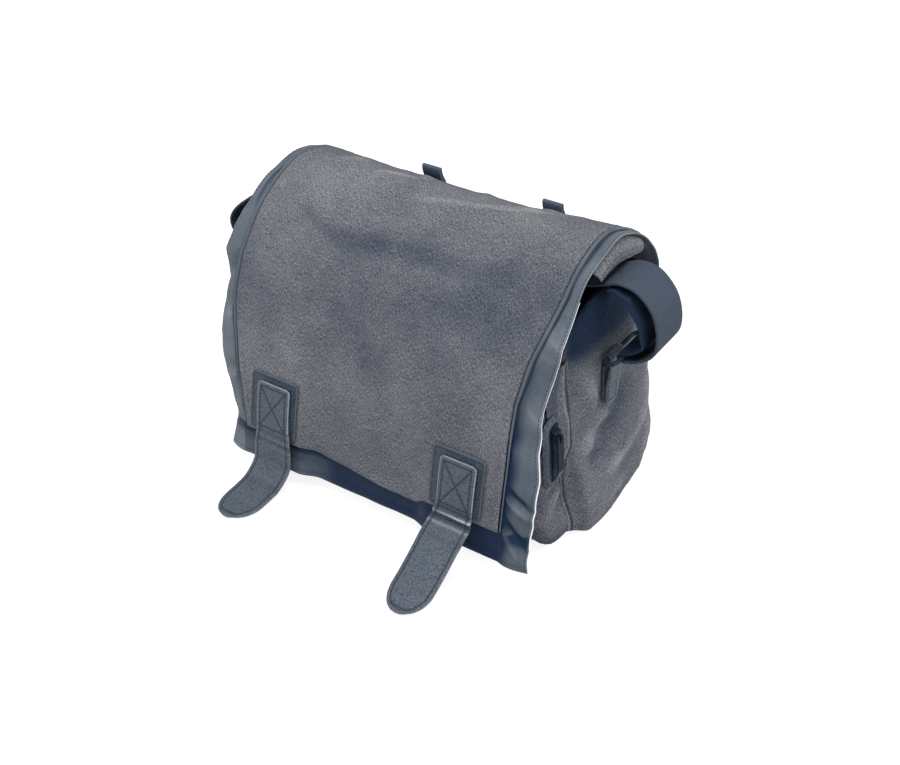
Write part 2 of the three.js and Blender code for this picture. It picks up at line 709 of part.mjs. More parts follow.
function shoulderStrap() {
  const right = strapHalfLine("right");
  const left = strapHalfLine("left")
    .slice(0, -1)
    .reverse()
    .map(({ point, forward }) => ({ point: V2(-point.x, point.y), forward }));
  const steps = [...right, ...left];
  const outermost = STRAP_LOOP.left[2].x;
  const line = steps.map((step) => step.point);
  return band(line, WEBBING, () => STRAP_WIDTH / 2, 1, (x, z, across, i) => {
    const lean = STRAP_LEAN[x < 0 ? "left" : "right"] * smoothstep(Math.abs(x), UPPER_BAR.x + 4, outermost);
    return V3(x, STRAP_Y + across - lean - steps[i].forward, z);
  });
}

// Share of the flap's length at which its top passes over y
function flapShareOver(y) {
  let [low, high] = [0, 0.6];
  for (let i = 0; i < 30; i++) {
    const middle = (low + high) / 2;
    if (flapCurve.getPointAt(middle).x > y) low = middle;
    else high = middle;
  }
  return low;
}

// Ear: canvas that lies under the wing at the end of the flap, then hangs over the strap
function ear(side) {
  const level = LINING_DEPTH + LINING + GAP + EAR.clear;
  const shares = steps(flapShareOver(EAR.front), flapShareOver(EAR.back), 10);
  const face = (inset) =>
    shares.map((u, i) => {
      const end = 2 * (i / 10) - 1;
      const drop = EAR.drop * (1 - 0.4 * end ** 2);
      return steps(0, 1, 7).map((share) => {
        const x = lerp(EAR.top, EAR.belly, Math.sin(share * Math.PI * 0.62));
        return flapPoint(u, side * (x - inset * share), level + drop * share ** 2 + inset * (1 - share));
      });
    });
  return wall(face(0), face(EAR.thick));
}

// Loop of webbing sewn to the back of the flap's hem and standing up from it
function backLoop(middle) {
  const turn = LOOP.thick / 2 + GAP;
  const inner = splineThrough(LOOP_RISE, "y", "z").getPoints(10);
  const outer = inner.map((p, i) => p.clone().addScaledVector(lineNormals(inner)[i], -2 * turn)).reverse();
  const crown = V2(inner.at(-1).x + turn, inner.at(-1).y);
  const line = [...inner, ...arcPoints(crown, turn, 180, 0, 6).slice(1, -1), ...outer];
  return band(line, LOOP.thick, () => LOOP.width / 2, 1, (y, z, across) => V3(middle + across, y, z));
}

const bag = new THREE.Group();

function add(name, geometry, finish) {
  const mesh = new THREE.Mesh(geometry, finish);
  mesh.name = name;
  bag.add(mesh);
  return mesh;
}

add("body_shell", bodyShell(), FINISH.canvas);
add("front_pocket", frontPocket(), FINISH.canvas);
add("zip_tape", zipTape(), FINISH.tape);
add("zip_slider", zipSlider(), FINISH.metal);
add("zip_pull", zipPull(), FINISH.metal);
add("flap_canvas", flapCanvas(), FINISH.canvas);
add("flap_lining", flapLining(), FINISH.lining);
add("shoulder_strap", shoulderStrap(), FINISH.webbing);
for (const [word, side] of [
  ["left", -1],
  ["right", 1],
]) {
  add(`pad_${word}`, leatherPad(TONGUE_X[word]), FINISH.leather);
  add(`tongue_${word}`, tongue(word, TONGUE_X[word]), FINISH.leather);
  add(`side_tab_${word}`, sideTab(side), FINISH.leather);
  add(`ring_${word}`, sideRing(side), FINISH.metal);
  add(`ear_${word}`, ear(side), FINISH.canvas);
  add(`back_loop_${word}`, backLoop(LOOP[word]), FINISH.webbing);
}

export default bag;
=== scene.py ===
import math
from functools import lru_cache

import bmesh
import bpy
from mathutils import Matrix, Vector, noise


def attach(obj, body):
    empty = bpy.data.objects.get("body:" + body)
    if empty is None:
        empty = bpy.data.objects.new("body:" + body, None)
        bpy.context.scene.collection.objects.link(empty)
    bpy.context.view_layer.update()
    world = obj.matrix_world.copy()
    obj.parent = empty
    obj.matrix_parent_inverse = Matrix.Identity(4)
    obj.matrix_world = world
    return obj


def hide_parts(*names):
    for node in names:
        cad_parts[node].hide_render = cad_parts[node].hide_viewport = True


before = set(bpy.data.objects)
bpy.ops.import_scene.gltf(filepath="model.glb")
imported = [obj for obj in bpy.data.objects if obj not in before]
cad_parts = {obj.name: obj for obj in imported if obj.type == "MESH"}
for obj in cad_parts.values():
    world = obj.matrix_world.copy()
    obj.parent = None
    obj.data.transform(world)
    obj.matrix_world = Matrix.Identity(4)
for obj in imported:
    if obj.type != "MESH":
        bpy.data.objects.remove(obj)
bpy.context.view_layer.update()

# A washed canvas shoulder bag. Sizes and tables are in millimetres; meshes are made in metres.
MM = 0.001
GAP = 0.35
SIDES = {"left": -1, "right": 1}
# A step in the tables is its strength, where it starts and where it is full.
# A stripe is its strength, its middle and its width. A span runs from none to full.

# Cloth and leather thicknesses
BODY_WALL = 5.0
CANVAS = 1.8
LINING = 1.2
LEATHER = 2.0
TONGUE_LEATHER = 3.0
WEBBING = 2.2

# Body outline at each level: z, half width, front, back, rear corner
BODY_LEVELS = (
    (0, 165, -65, 60, 34),
    (5, 167, -65, 63.5, 36),
    (16, 168, -66, 65.5, 38),
    (60, 167, -66, 67.5, 38),
    (120, 161.5, -66, 67, 27),
    (168, 156, -66, 66.4, 19),
    (182, 154, -66, 66.4, 18),
)
# The side panels stand wider at the front of the base
FLARE_OUT = 10
FLARE_LOW = 16
FLARE_HIGH = 90
FLARE_FRONT = -66
FLARE_REAR = 10
FLARE_FROM_EDGE = (30, 12)
FRONT_ROUND = 9
RIM_ARCH = 23
RIM_BEND = 168
RIM_REACH = 64
SIDE_BULGE = 6
BACK_BULGE = 3
BODY_CLOTH = (930, 190)
# Spans where the body's cloth is held: y at the front, z at the base and the rim, x under the tabs
BODY_HELD_FRONT = (-50, -60)
BODY_HELD_LOW = (12, 2)
BODY_HELD_RIM = (166, 178)
BODY_HELD_TAB = (130, 145)
# Spans of the side and back panels: distance in from the side, y
SIDE_PANEL_IN = (34, 14)
SIDE_PANEL_Y = (-66, -58)
BACK_PANEL_Y = (40, 62)
# Folds fade towards the base and the rim
FOLDS_LOW = (1, 9)
FOLDS_HIGH = (176, 158)
# The sides have painted shade under the flap and a painted highlight along the rear border; the base's edge
# is rubbed all round
SIDE_SHADE = (0.9, 144, 168)
REAR_BORDER_HIGHLIGHT = (0.7, 50, 11)
BASE_BORDER = (0.3, 9, 4)

# Soft folds of the side panels: side, y and z of both ends, width, height (a valley is below 0)
SIDE_FOLDS = (
    (1, -18, 109, -41, 90, 6.5, 3.5),
    (1, -41, 90, -62, 73, 6.5, 3.5),
    (1, 12, 111, -18, 91, 9, -3.4),
    (1, -18, 91, -33, 73, 9, -3.4),
    (1, -33, 73, -54, 59, 8, -3),
    (1, 41, 71, -3, 58, 4.5, 4.6),
    (1, -3, 58, -36, 45, 4.5, 4.2),
    (1, 50, 64, 40, 120, 7, 3),
    (1, 46, 52, 16, 18, 6, 3.4),
    (1, -54, 152, -30, 108, 7, 3),
    (1, -14, 30, -48, 22, 6, 2),
    (1, 20, 44, -20, 34, 6, -2),
    (-1, -36, 25, -38, 150, 10, -4),
    (-1, 34, 150, 38, 50, 11, -4),
    (-1, 24, 98, -22, 66, 7, 5),
    (-1, 30, 60, 4, 22, 6, 4.2),
    (-1, -20, 46, -48, 24, 7, 4),
)
# Creases of the back panel: x and z of both ends, width, height
BACK_FOLDS = (
    (-118, 150, -60, 128, 10, 2.5),
    (-30, 60, 44, 44, 14, -2.5),
    (62, 132, 112, 150, 9, 2.5),
    (96, 60, 126, 26, 9, 2.2),
    (-96, 40, -124, 18, 9, 2.2),
)

POCKET_HALF = 151
POCKET_FRONT = -107
POCKET_BACK = -66.35
POCKET_ROUND = 13
POCKET_REAR_ROUND = 4
POCKET_CLOTH = (690, 140)
# Spans where the pocket's cloth is held: y at the rear, z at the base and the top
POCKET_HELD_REAR = (-74, -68)
POCKET_HELD_LOW = (9, 3)
POCKET_HELD_TOP = (126, 132)
# Spans where it is free to fold, and where its sides are gathered
POCKET_FREE_Y = (-75, -81)
POCKET_FREE_Z = (2, 10)
POCKET_SIDE_X = (138, 146)
# Painted shade over the whole pocket, then steps of painted shade towards its base and its top
POCKET_TONE = 0.08
POCKET_SHADES = ((0.4, 20, 5), (0.4, 110, 122))
POCKET_SHOULDER = 124
# Pocket levels: z, how far the sides and the front stand in
POCKET_LEVELS = (
    (2, -2, 10),
    (6, -6, 6),
    (13, -6.5, 3),
    (42, 0, 0),
    (118, 0, 0),
    (129, 3, 3),
    (135, 10, 10),
)

# Gathers of the pocket's sides below the zip: y and z of both ends, width, height
POCKET_FOLDS = (
    (-70, 78, -78, 64, 3.5, 2.2),
    (-78, 64, -97, 59, 3.5, 2.2),
    (-78, 52, -89, 40, 3.5, 2.6),
    (-89, 40, -102, 29, 3.5, 2.4),
    (-76, 58, -98, 49, 4, -2),
)

# The gusset's seam runs up past the pocket
SEAM_LOW = 3
SEAM_HIGH = 164
SEAM_CLOTH = (30, SEAM_HIGH - SEAM_LOW)
SEAM_LIFT = 0.3
SEAM_TUCK = 0.2
SEAM_PUCKER_WIDTH = 20
SEAM_FLARE_Y = -62
# Its way from the pocket to the side panel: share of the way, distance in, y
SEAM_PATH = ((0.36, 0, -70.8), (1, 1.4, -64.6), (1, 0.4, -53))
# Stripes of its ridge and of its sunk stitches, and the painted shade above the pocket
SEAM_RIDGE = (1.1, -0.07, 0.05)
SEAM_GROOVE = (0.9, 0.02, 0.035)
SEAM_SHADE = (0.4, 0.7, 0.8)
SEAM_SHADE_ACROSS = (0.4, 0.3)
# Its stitched line wanders across it: z, share
SEAM_WANDER = (
    (3, 0.1),
    (27, 0.08),
    (59, 0.05),
    (72, 0.16),
    (92, 0.4),
    (112, 0.42),
    (126, 0.62),
    (140, 0.63),
    (150, 0.58),
    (164, 0.52),
)
# Its front edge reaches further forward above the pocket: z, y
SEAM_REACH = ((112, -77), (126, -90), (140, -91), (150, -86), (158, -82), (164, -79))

ZIP_Y = -88
ZIP_LOW = 66
ZIP_HIGH = 122
ZIP_TAPE = 18
ZIP_FACE = 151.35
ZIP_THICK = 1.4
# Spans where the pocket's cloth lies flat beside the zip: distance from its middle, x, z
ZIP_FLAT_Y = (14, 9)
ZIP_FLAT_X = (146, 150)
ZIP_FLAT_Z = (54, 63)
# Canvas lips folded over the zip's tape: share from the outer edge, half width, reach past the tape,
# height, lightening by wear and painted highlight (painted shade below 0)
ZIP_LIPS = (
    (0, 12.5, 5, -0.4, 0),
    (0.35, 10.2, 3, 1.8, 0.1),
    (0.7, 7.8, 1.2, 2.7, 0.5),
    (0.9, 6.5, 0, 2.3, 0.1),
    (1, 6.2, -0.3, 1.6, -0.8),
)
LIP_SEAM = 0.52
LIP_CLOTH = (150, 9)
LIP_ROUND = 0.9
# Spans of the rear lip, which is lighter, partly rubbed and partly a painted highlight: distance from the
# zip's middle, z. The front lip has painted shade
LIP_REAR = (0, 6)
LIP_LOW = (120, 108)
LIP_FRONT_WEAR = 0.3
LIP_FRONT_SHADE = 0.35
TOOTH_PITCH = 1.9
TOOTH_MARGIN = 2
TOOTH_SIZE = (1.3, 2.6, 1.05)
TOOTH_RISE = 0.55
TOOTH_OFF = 1.05

# Outer face of the flap in side view, from the hem on the back panel over the top: y, z
FLAP_PROFILE = (
    (70.1, 172),
    (70.1, 184),
    (64, 197),
    (52, 208),
    (38, 219),
    (20, 231),
    (-5, 238),
    (-34, 228),
    (-62, 207),
    (-85, 181),
    (-103, 151),
    (-118, 118),
    (-131, 80),
    (-141, 42),
    (-146, 15),
)
HEM_ABOVE_LINING = 27.5
# Edges of the canvas from the middle: share of the length, left, right
PANEL_EDGE = (
    (0, 147, 147),
    (0.25, 145, 147),
    (0.42, 152, 144),
    (0.56, 155, 134),
    (0.65, 151.5, 131),
    (0.78, 139.5, 133),
    (0.92, 127, 133.5),
    (1, 125, 134),
)
# Wings of the storm lining beyond the canvas: share of the length, left, right
WING_WIDTH = (
    (0, 9, 9),
    (0.15, 10, 9),
    (0.3, 13, 13),
    (0.42, 16.5, 12.5),
    (0.55, 24, 20.8),
    (0.61, 16, 20.7),
    (0.74, 27, 21.6),
    (0.8, 27, 24.9),
    (0.93, 19, 24),
    (1, 25, 28),
)
# Rows of the lining lie closer together towards its hem: share of the rows, share of the length
LINING_ROWS = ((0, 0), (0.3, 0.5), (1, 1))
# Its columns lie closer together on the wings: share of them for each wing, reach in under the canvas
WING_COLUMNS = 0.24
WING_COLUMNS_IN = 4
# The wings droop in two steps along the flap and kick out at its end
WING_DROOP = 9
WING_FALL = ((0.2, 0.12, 0.4), (0.8, 0.42, 0.7))
WING_KICK = {"left": (4, 0.9, 1), "right": (9, 0.9, 1)}
# The front dips between the pads
FRONT_DIP = ((4, 0.6, 0.93), (2, 0.9, 1))
FRONT_DIP_IN = (26, 46)
# The canvas hem hangs lower between the tongues: depth, x where it starts, is full, turns back and ends
HEM_BOW = (8, -60, 30, 48, 64)
# The rows of the canvas follow it over this share of the length
HEM_BOW_SHARE = 0.12
BACK_SEAM_IN = 6
BACK_SEAM_HALF = 142
LINING_SEAM_IN = 4.5
LINING_SEAM = (-146, 158)
LINING_SEAM_RISE = 0.05
# The canvas has piping and a seam along each side: share of the length where they start and stop short
PANEL_SEAM_IN = 5.6
PANEL_SEAM_FROM = 0.04
PANEL_SEAM_RISE = 0.55
PIPING = 1.6
PIPING_FROM = 0.03
PIPING_OUT = 0.3
PIPING_SUNK = 0.7
PIPING_THINS = (-0.6, 0.55, 0.9)
SIDE_SEAMS_SHORT = 0.004
# The wings have a seam near the edge, and the right one has a rolled edge that grows thicker, pale partly as
# a light raw edge and partly as a painted highlight
WING_SEAM_IN = 1.7
WING_SEAM_SPAN = (0.1, 0.995)
ROLLED_EDGE = 0.55
ROLLED_EDGE_SPAN = (0.42, 0.95)
ROLLED_EDGE_OUT = 0.3
ROLLED_EDGE_IN = 0.5
ROLLED_EDGE_SUNK = 0.6
ROLLED_EDGE_THIN = 0.4
ROLLED_EDGE_GROWS = (0.6, 0.45, 0.65)
# The crown is higher on the right: a step by x, and spans along the flap
CROWN = (7, 60, 150)
CROWN_FROM = (0.04, 0.16)
CROWN_TO = (0.5, 0.36)
# The flap is free from its back seam on, and lies flat under and just over the pads
FLAP_FREE = (0.02, 0.12)
PAD_HOLDS = (18, 0)
PAD_HOLDS_OVER = (20, 0)
# Rolled hems of the canvas and the lining, by the distance from the edge
HEM_ROLL = ((0.5, 8.4, 7), (-0.8, 1.2, 0))
LINING_HEM = (0.55, 7.2, 6.2)
LINING_HEM_FROM = (0.05, 0.1)
# Under the canvas the lining follows its relief, and less beyond: distance out, share past the hem
CANVAS_COVERS = (2, -2)
CANVAS_COVERS_PAST = (-0.004, 0.01)
BARE_RELIEF = 0.6
# Wear of the canvas: its edges and the crest; the front is lighter towards the left
BRIM_RUB = {"left": (0.8, 2, 0.3), "right": (0.4, 2, 0.3)}
CREST_RUB = (0.2, 104, 34)
FRONT_LIGHTENING = (0.28, 0.6, 0.85)
FRONT_LIGHTENING_X = (80, 20)
# Soft folds of the flap: x and length along it of both ends, width, height
FLAP_FOLDS = (
    (-20, 122, 45, 107, 4.5, 2.2),
    (45, 107, 82, 90, 4.5, 1.8),
    (-115, 104, -86, 91, 4, 1.7),
    (-78, 111, -42, 93, 4, 1.5),
    (-44, 66, -22, 108, 6, 1.7),
    (18, 64, 34, 106, 6, 1.3),
    (86, 66, 70, 104, 6, 1.6),
    (-104, 70, -96, 110, 7, 1.4),
    (-114, 156, -85, 173, 7, -2),
    (-85, 173, -50, 175, 8, -2.6),
    (-50, 175, -15, 169, 9, -2.4),
    (-15, 169, 45, 165, 10, -2.1),
    (45, 165, 98, 160, 11, -1.6),
    (-60, 156, 0, 146, 9, 1.8),
    (30, 210, 96, 190, 16, -1.6),
    (-90, 250, -84, 310, 13, 2),
    (-40, 230, 20, 300, 18, -2.1),
    (40, 250, 70, 320, 15, 1.8),
)
# Thin rubbed creases along the crest: x and length along the flap of both ends, width, wear
CREST_LINES = (
    (-20, 122, 34, 111, 1.8, 0.5),
    (34, 111, 66, 103, 1.7, 1.3),
    (66, 103, 100, 84, 1.7, 1.2),
    (-68, 106, -28, 92, 1.7, 1.2),
    (-115, 104, -86, 91, 1.7, 0.9),
)
# Ripples of the wings: x and length along the flap of both ends, width, height
WING_FOLDS = (
    (132, 325, 158, 345, 3.2, 3),
    (132, 317, 157, 337, 2.2, -2.6),
    (132, 350, 153, 377, 3.2, 3),
    (132, 341, 159, 372, 2.2, -2.6),
    (140, 250, 156, 268, 6, 2),
    (144, 196, 158, 204, 5, 1.8),
    (-138, 316, -158, 322, 5, 2.8),
    (-142, 214, -168, 226, 8, -3.4),
    (-141, 262, -166, 268, 9, 2.5),
)
# Where a fold is sharp its crest is lighter, partly rubbed and partly a painted highlight, and its valley
# has painted shade
WING_LINES = tuple((*row[:4], 1.1, 0.3 if row[5] > 0 else -0.6) for row in WING_FOLDS)
WING_LINES_OUT = (1, 5)
# The wings ripple beyond the canvas: spans of the way out and of the length
WING_FREE_OUT = (0.02, 0.3)
WING_FREE = (0.1, 0.3)
# Painted shade on the lining under the canvas hem, by x and by the share of the way down from the hem
HEM_SHADE = (0.97, -64, -32)
HEM_SHADE_TO = (140, 104)
HEM_SHADE_NEAR = (0.95, 0.4, 0.14)
HEM_SHADE_FROM = (-0.1, 0)
# It has painted shade beside the canvas, and a dark line along its seam, by the distance out
WING_SHADE = {"left": (0.5, 5, 2), "right": (0.97, 13.5, 2)}
WING_SHADE_FROM = (0.5, 0.74)
WING_GROOVE = (0.8, 4.2, 0.9)
WING_GROOVE_FROM = (0.1, 0.2)
# It is rubbed along its edge; painted light on a wedge at its left corner; painted highlights on the crests
# of its ripples and painted shade in their hollows; painted shade at its right corner
WING_RIM = (0.5, 1.6, 0.4)
CORNER_PAINTED_LIGHT = (0.35, 0.4, 0.65)
CORNER_PAINTED_LIGHT_X = (-44, -72)
RIPPLE_SHADING = 0.14
CORNER_SHADE = (0.16, 0.8, 0.88)
CORNER_SHADE_X = (100, 130)
# The left wing is painted lighter, standing in for light, with painted shade along a tuck at the crest that
# moves out as it falls
LEFT_LIT = (0.2, 4, 9)
TUCK_SHADE = (0.9, 0.2, 0.26)
TUCK_TO = (0.46, 0.4)
TUCK_OUT = (5.5, 0.26, 0.39)
TUCK_START = 2.5
TUCK_WIDTH = 1.6
# Lightening on a fold's crest, partly wear and partly a painted highlight, and painted shade in its valley,
# per mm of its height: on a crest, in a valley
FOLD_WEAR_AND_SHADING = {"body": (0.32, 0.11), "pocket": (0.3, 0.14), "flap": (0.16, 0.19)}
# A fold has this share of its height at its ends, and ends this many widths to its sides
FOLD_ENDS = 0.35
FOLD_REACH = 3
# Deepest painted shade and strongest lightening, by wear and painted light, of each face
WEAR_AND_SHADE_LIMITS = {
    "body": (-0.9, 1.7),
    "pocket": (-0.5, 1),
    "seam": (-1, 1),
    "flap": (-0.4, 1),
    "lining": (-0.97, 1),
    "tongue": (-0.9, 1),
}

TONGUE_X = {"left": -97, "right": 92.5}
PAD_WIDTH = 50
PAD_HEIGHT = 53
PAD_ABOVE_HEM = 3
PAD_CORNER = 5
PAD_SEAM_IN = 2.4
PAD_ROUND = (0.7, 2.2, -0.5)
PAD_RUB = (0.6, 1.2, 0.2)
PAD_GROOVE = (0.5, PAD_SEAM_IN, 0.8)
TONGUE_WIDTH = 39.5
TONGUE_INSET_TOP = 6
TONGUE_CORNER = 4
TONGUE_TIP = 26
# Its rows and its stitched line have closer points towards the tip
TONGUE_ROWS_CLOSE = 1.25
TONGUE_SEAM_CLOSE = 1.8
# Shares of the pad at which it lies on the leather
TONGUE_SEWN = (0, 0.33, 0.66, 0.94)
# Where it is sewn to its pad a tongue is narrower and lies a little to the right
HEAD_WIDTH = 34.5
HEAD_SHIFT = 2
HEAD_END = 38
HEAD_FULL = 62
# Free end of each tongue, the middle of the leather: y, z
TONGUE_FALL = {
    "right": ((-148.5, 38), (-160, 31.5), (-180, 19.5), (-201, 8.3), (-223, 2)),
    "left": ((-147.5, 31), (-151.5, 17), (-164, 6), (-184, 2.4), (-209, 2)),
}
TONGUE_DRIFT = {"right": -1, "left": -3}
TONGUE_BOW = {"right": 0, "left": 4}
TONGUE_BOW_AT = (66, 24)
# Its sides curl down beyond the pad
TONGUE_CUP = 0.9
TONGUE_CUPPED = (60, 100)
# Crease ridges of the tongues are lighter, partly wear and partly a painted highlight; their valleys have
# painted shade
CREASE_WEAR_AND_HIGHLIGHT = {"right": 1, "left": 0.15}
CREASE_SHADE = 0.75
CREASE_SLANT = 0.06
TONGUE_ROUND = (0.8, 2, -0.6)
SEAM_IN = 3.8
# The stitched box that holds a tongue on its pad ends this far down
BOX_END = 40.5
# On the pad the tongue is darker and its rim brighter: the rim's wear when free and on the pad
TONGUE_ON_PAD = (BOX_END + 10, BOX_END + 2)
TONGUE_PAD_SHADE = 0.12
TONGUE_RIM = (0.2, 0.85)
TONGUE_RIM_IN = (1.1, 0.3)
TONGUE_GROOVE = (0.75, 0, 0.75)
# Creases across each tongue: height, length along, width
TONGUE_CREASES = {
    "right": ((-0.75, 45, 2.2), (1, 49.5, 1.1), (-1.05, 53.8, 2.6), (0.35, 59, 1.6), (-0.25, 70, 3)),
    "left": ((-0.35, 46, 1.8), (0.45, 50, 1.4), (-0.4, 54, 2), (0.3, 58, 1.6), (-0.3, 95, 4)),
}

# A tab leans back as it rises: y is its middle at the fold
TAB_Y = -15.5
TAB_LEAN = 0.22
TAB_WIDTH = 18
TAB_LEVELS = (107, 115, 123, 131, 140)
TAB_SPREAD = 118
TAB_FOLD = 147
TAB_END = 8
TAB_SEAM_IN = 2.6
TAB_SEWN = 27
# Spans where the side panel lies flat under a tab: distance from its middle, z
TAB_FLAT = (18, 10)
TAB_FLAT_Z = (94, 106)
TAB_RUB = (0.8, 1.2, 0.2)
# Painted shade on the front of the tab
TAB_FRONT_SHADE = (0.8, -4, -7)
RING_WIRE = 2
RING_Y = -8
RING_INNER = 47
RING_REACH = 14
RING_RISE = math.radians(24)
RING_CORNER = 5

STRAP_WIDTH = 38
STRAP_Y = -6
# Strap from the ring out, up and in under the flap: distance from the middle, z
STRAP_LOOP = {
    "right": ((190, 154), (203, 165), (206.5, 182), (202, 202), (189, 216.5), (173, 219.5), (160, 214.8)),
    "left": ((190, 150), (203, 159), (207, 172), (201, 185), (188, 196), (173, 204.5), (160, 210)),
}
STRAP_CROSSING = ((148, 210.5), (128, 208), (60, 206), (0, 205.5))
STRAP_LEAN = {"right": 0, "left": 20}
STRAP_OUTERMOST = 207
# The turned-back end inside the loop: length along the strap, distance from it, how far forward it lies
STRAP_BACK = ((0, 6.9, 0), (25, 9, 1), (50, 13, 3), (75, 14, 4), (100, 9, 3), (118, 4.5, 2))
STRAP_BACK_SHARE = {"right": 1, "left": 0.85}
STRAP_BACK_STEPS = 70
STRAP_FREE_X = (178, 196)
STRAP_LIT = (0.2, 0.85, 0.9)
# Painted shade on the turned-back end up to the ring
STRAP_SHADE = 0.8
STRAP_SHADE_END = 14

EAR_FRONT = -33
EAR_BACK = 36
EAR_TOP = 149
EAR_BELLY = 161
EAR_DROP = 18
EAR_END_DROP = 0.4
EAR_CURL = 0.62
EAR_CLEAR = 0.9
EAR_CLOTH = (22, 66)
EAR_RIPPLE = (60, 20)
EAR_SEAMS = (0.74, 0.9)
EAR_SEAM_SPAN = (0.03, 0.97)
EAR_SEAM_RISE = 0.25
EAR_FACING = (0.9, -0.2, 0.4)
# The rolled hem of an ear, and the shares of it that stand out and up
EAR_ROLL = ((0.5, 0.72, 0.8), (-0.4, 0.95, 1))
EAR_ROLL_OUT = 0.6
EAR_ROLL_UP = 0.3
# The ear is painted lighter than the rest of the canvas, standing in for light, and rubbed lighter at its
# rolled end
EAR_TONE = 0.4
EAR_RUB = (0.3, 0.9, 1)
LOOP_X = {"left": -64.5, "right": 58.5}
LOOP_WIDTH = 18.5
LOOP_THICK = 1.7
# Inner layer of a back loop: y, z
LOOP_RISE = ((71.4, 174), (71.4, 184), (67.8, 195), (64.2, 203), (63, 207), (62.8, 211))

# Faces across and along the cloth of each piece
GRIDS = {
    "body": (176, 44),
    "pocket": (150, 30),
    "seam": (44, 76),
    "tape": (12, 48),
    "lips": (110, 14),
    "canvas": (150, 190),
    "lining": (190, 210),
    "pad": (44, 46),
    "tongue": (76, 220),
    "tab": (20, 90),
    "strap": (14, 620),
    "ear": (22, 60),
    "loop": (12, 90),
}
# Irregular unevenness of the cloth: height, size, seed
RUMPLES = {
    "side_right": (0.5, 26, 2.7),
    "side_left": (0.5, 26, 8.1),
    "back": (1.1, 45, 5.2),
    "pocket": (1, 24, 9.4),
    "seam_right": (0.7, 11, 4.4),
    "seam_left": (0.7, 11, -4.4),
    "lips": (0.5, 9, 6.6),
    "lip_line": (0.5, 12, 1.9),
    "flap": (1.5, 70, 1.3),
    "flap_fine": (0.6, 21, 6.1),
    "wing": (1.9, 24, 3.3),
    "strap": (0.5, 40, 2.2),
    "ear": (0.6, 14, 4.0),
}
# Stitches: pitch, length, width, height
STITCHES = {
    "zip": (3.2, 2.2, 0.6, 0.4),
    "panel": (3.4, 2.4, 0.6, 0.4),
    "lining": (3.4, 2.5, 0.6, 0.4),
    "pad": (3.4, 2.4, 0.7, 0.4),
    "tongue": (3.1, 2.6, 0.9, 0.5),
    "tab": (3.2, 2.3, 0.7, 0.45),
    "ear": (3.2, 2.3, 0.6, 0.5),
}
# Points nearer than this are one point
WELD = 0.02 * MM
# An opening's edge lies this near its level
EDGE_BAND = 3
SWELL_FRAMES = 20

# Softboxes: name, place in metres, power, size, colour
SOFTBOXES = (
    ("overhead", (0.2, -0.3, 1.9), 41, 1.0, (1, 0.97, 0.93)),
    ("front_left", (-1.3, -1.5, 1.1), 20, 1.0, (1, 0.97, 0.94)),
    ("rear_right", (1.3, 0.9, 1.0), 16, 0.4, (1, 0.97, 0.94)),
    ("right", (1.7, -0.4, 0.7), 12, 1.0, (1, 0.98, 0.96)),
)
LIT_POINT = Vector((0.03, -0.08, 0.1))
SKY_COLOUR = (0.80, 0.92, 1.08, 1)
SKY_STRENGTH = 0.48
FLOOR_HALF = 6
FLOOR_DROP = 0.0006
# Camera: turn, tilt and roll in degrees, distance and target in mm, lens and sensor
CAMERA_ANGLES = (38.2555, 36.7375, -4.4485)
CAMERA_DISTANCE = 1154.71
CAMERA_TARGET = Vector((92.185, -133, 167.417))
CAMERA_LENS = 61.9436
CAMERA_SENSOR = 36


def clamp(value, low=0.0, high=1.0):
    return max(low, min(high, value))


def mix(a, b, share):
    return a + (b - a) * share


def smoothstep(value, low, high):
    share = clamp((value - low) / (high - low))
    return share * share * (3 - 2 * share)


def fade(value, low, high):
    """1 up to low, falling smoothly to 0 at high."""
    return 1 - smoothstep(value, low, high)


def bell(value, middle, width):
    """1 at the middle, fading smoothly to both sides."""
    return math.exp(-(((value - middle) / width) ** 2))


def graded(value, *steps):
    """Sum of the steps at a value."""
    return sum(strength * smoothstep(value, start, full) for strength, start, full in steps)


def striped(value, strength, middle, width):
    """Strength of a stripe at a value."""
    return strength * bell(value, middle, width)


def word_of(x):
    return "left" if x < 0 else "right"


def read_rows(rows, at, column, smooth=False):
    """A column of a table read at a value of its first column."""
    for low, high in zip(rows, rows[1:]):
        if at <= high[0]:
            break
    share = clamp((at - low[0]) / (high[0] - low[0]))
    if smooth:
        share = share * share * (3 - 2 * share)
    return mix(low[column], high[column], share)


def spaced(count, at):
    """What at gives for even shares from 0 to 1."""
    return [at(i / (count - 1)) for i in range(count)]


def between(a, b):
    """Spots on the way from one pair of numbers to another, by share."""
    return lambda share: (mix(a[0], b[0], share), mix(a[1], b[1], share))


def cut(width, length, middle=0.0):
    """Cloth map of a piece cut width by length mm, measured across from its middle share."""
    return lambda s, t: ((s - middle) * width, t * length)


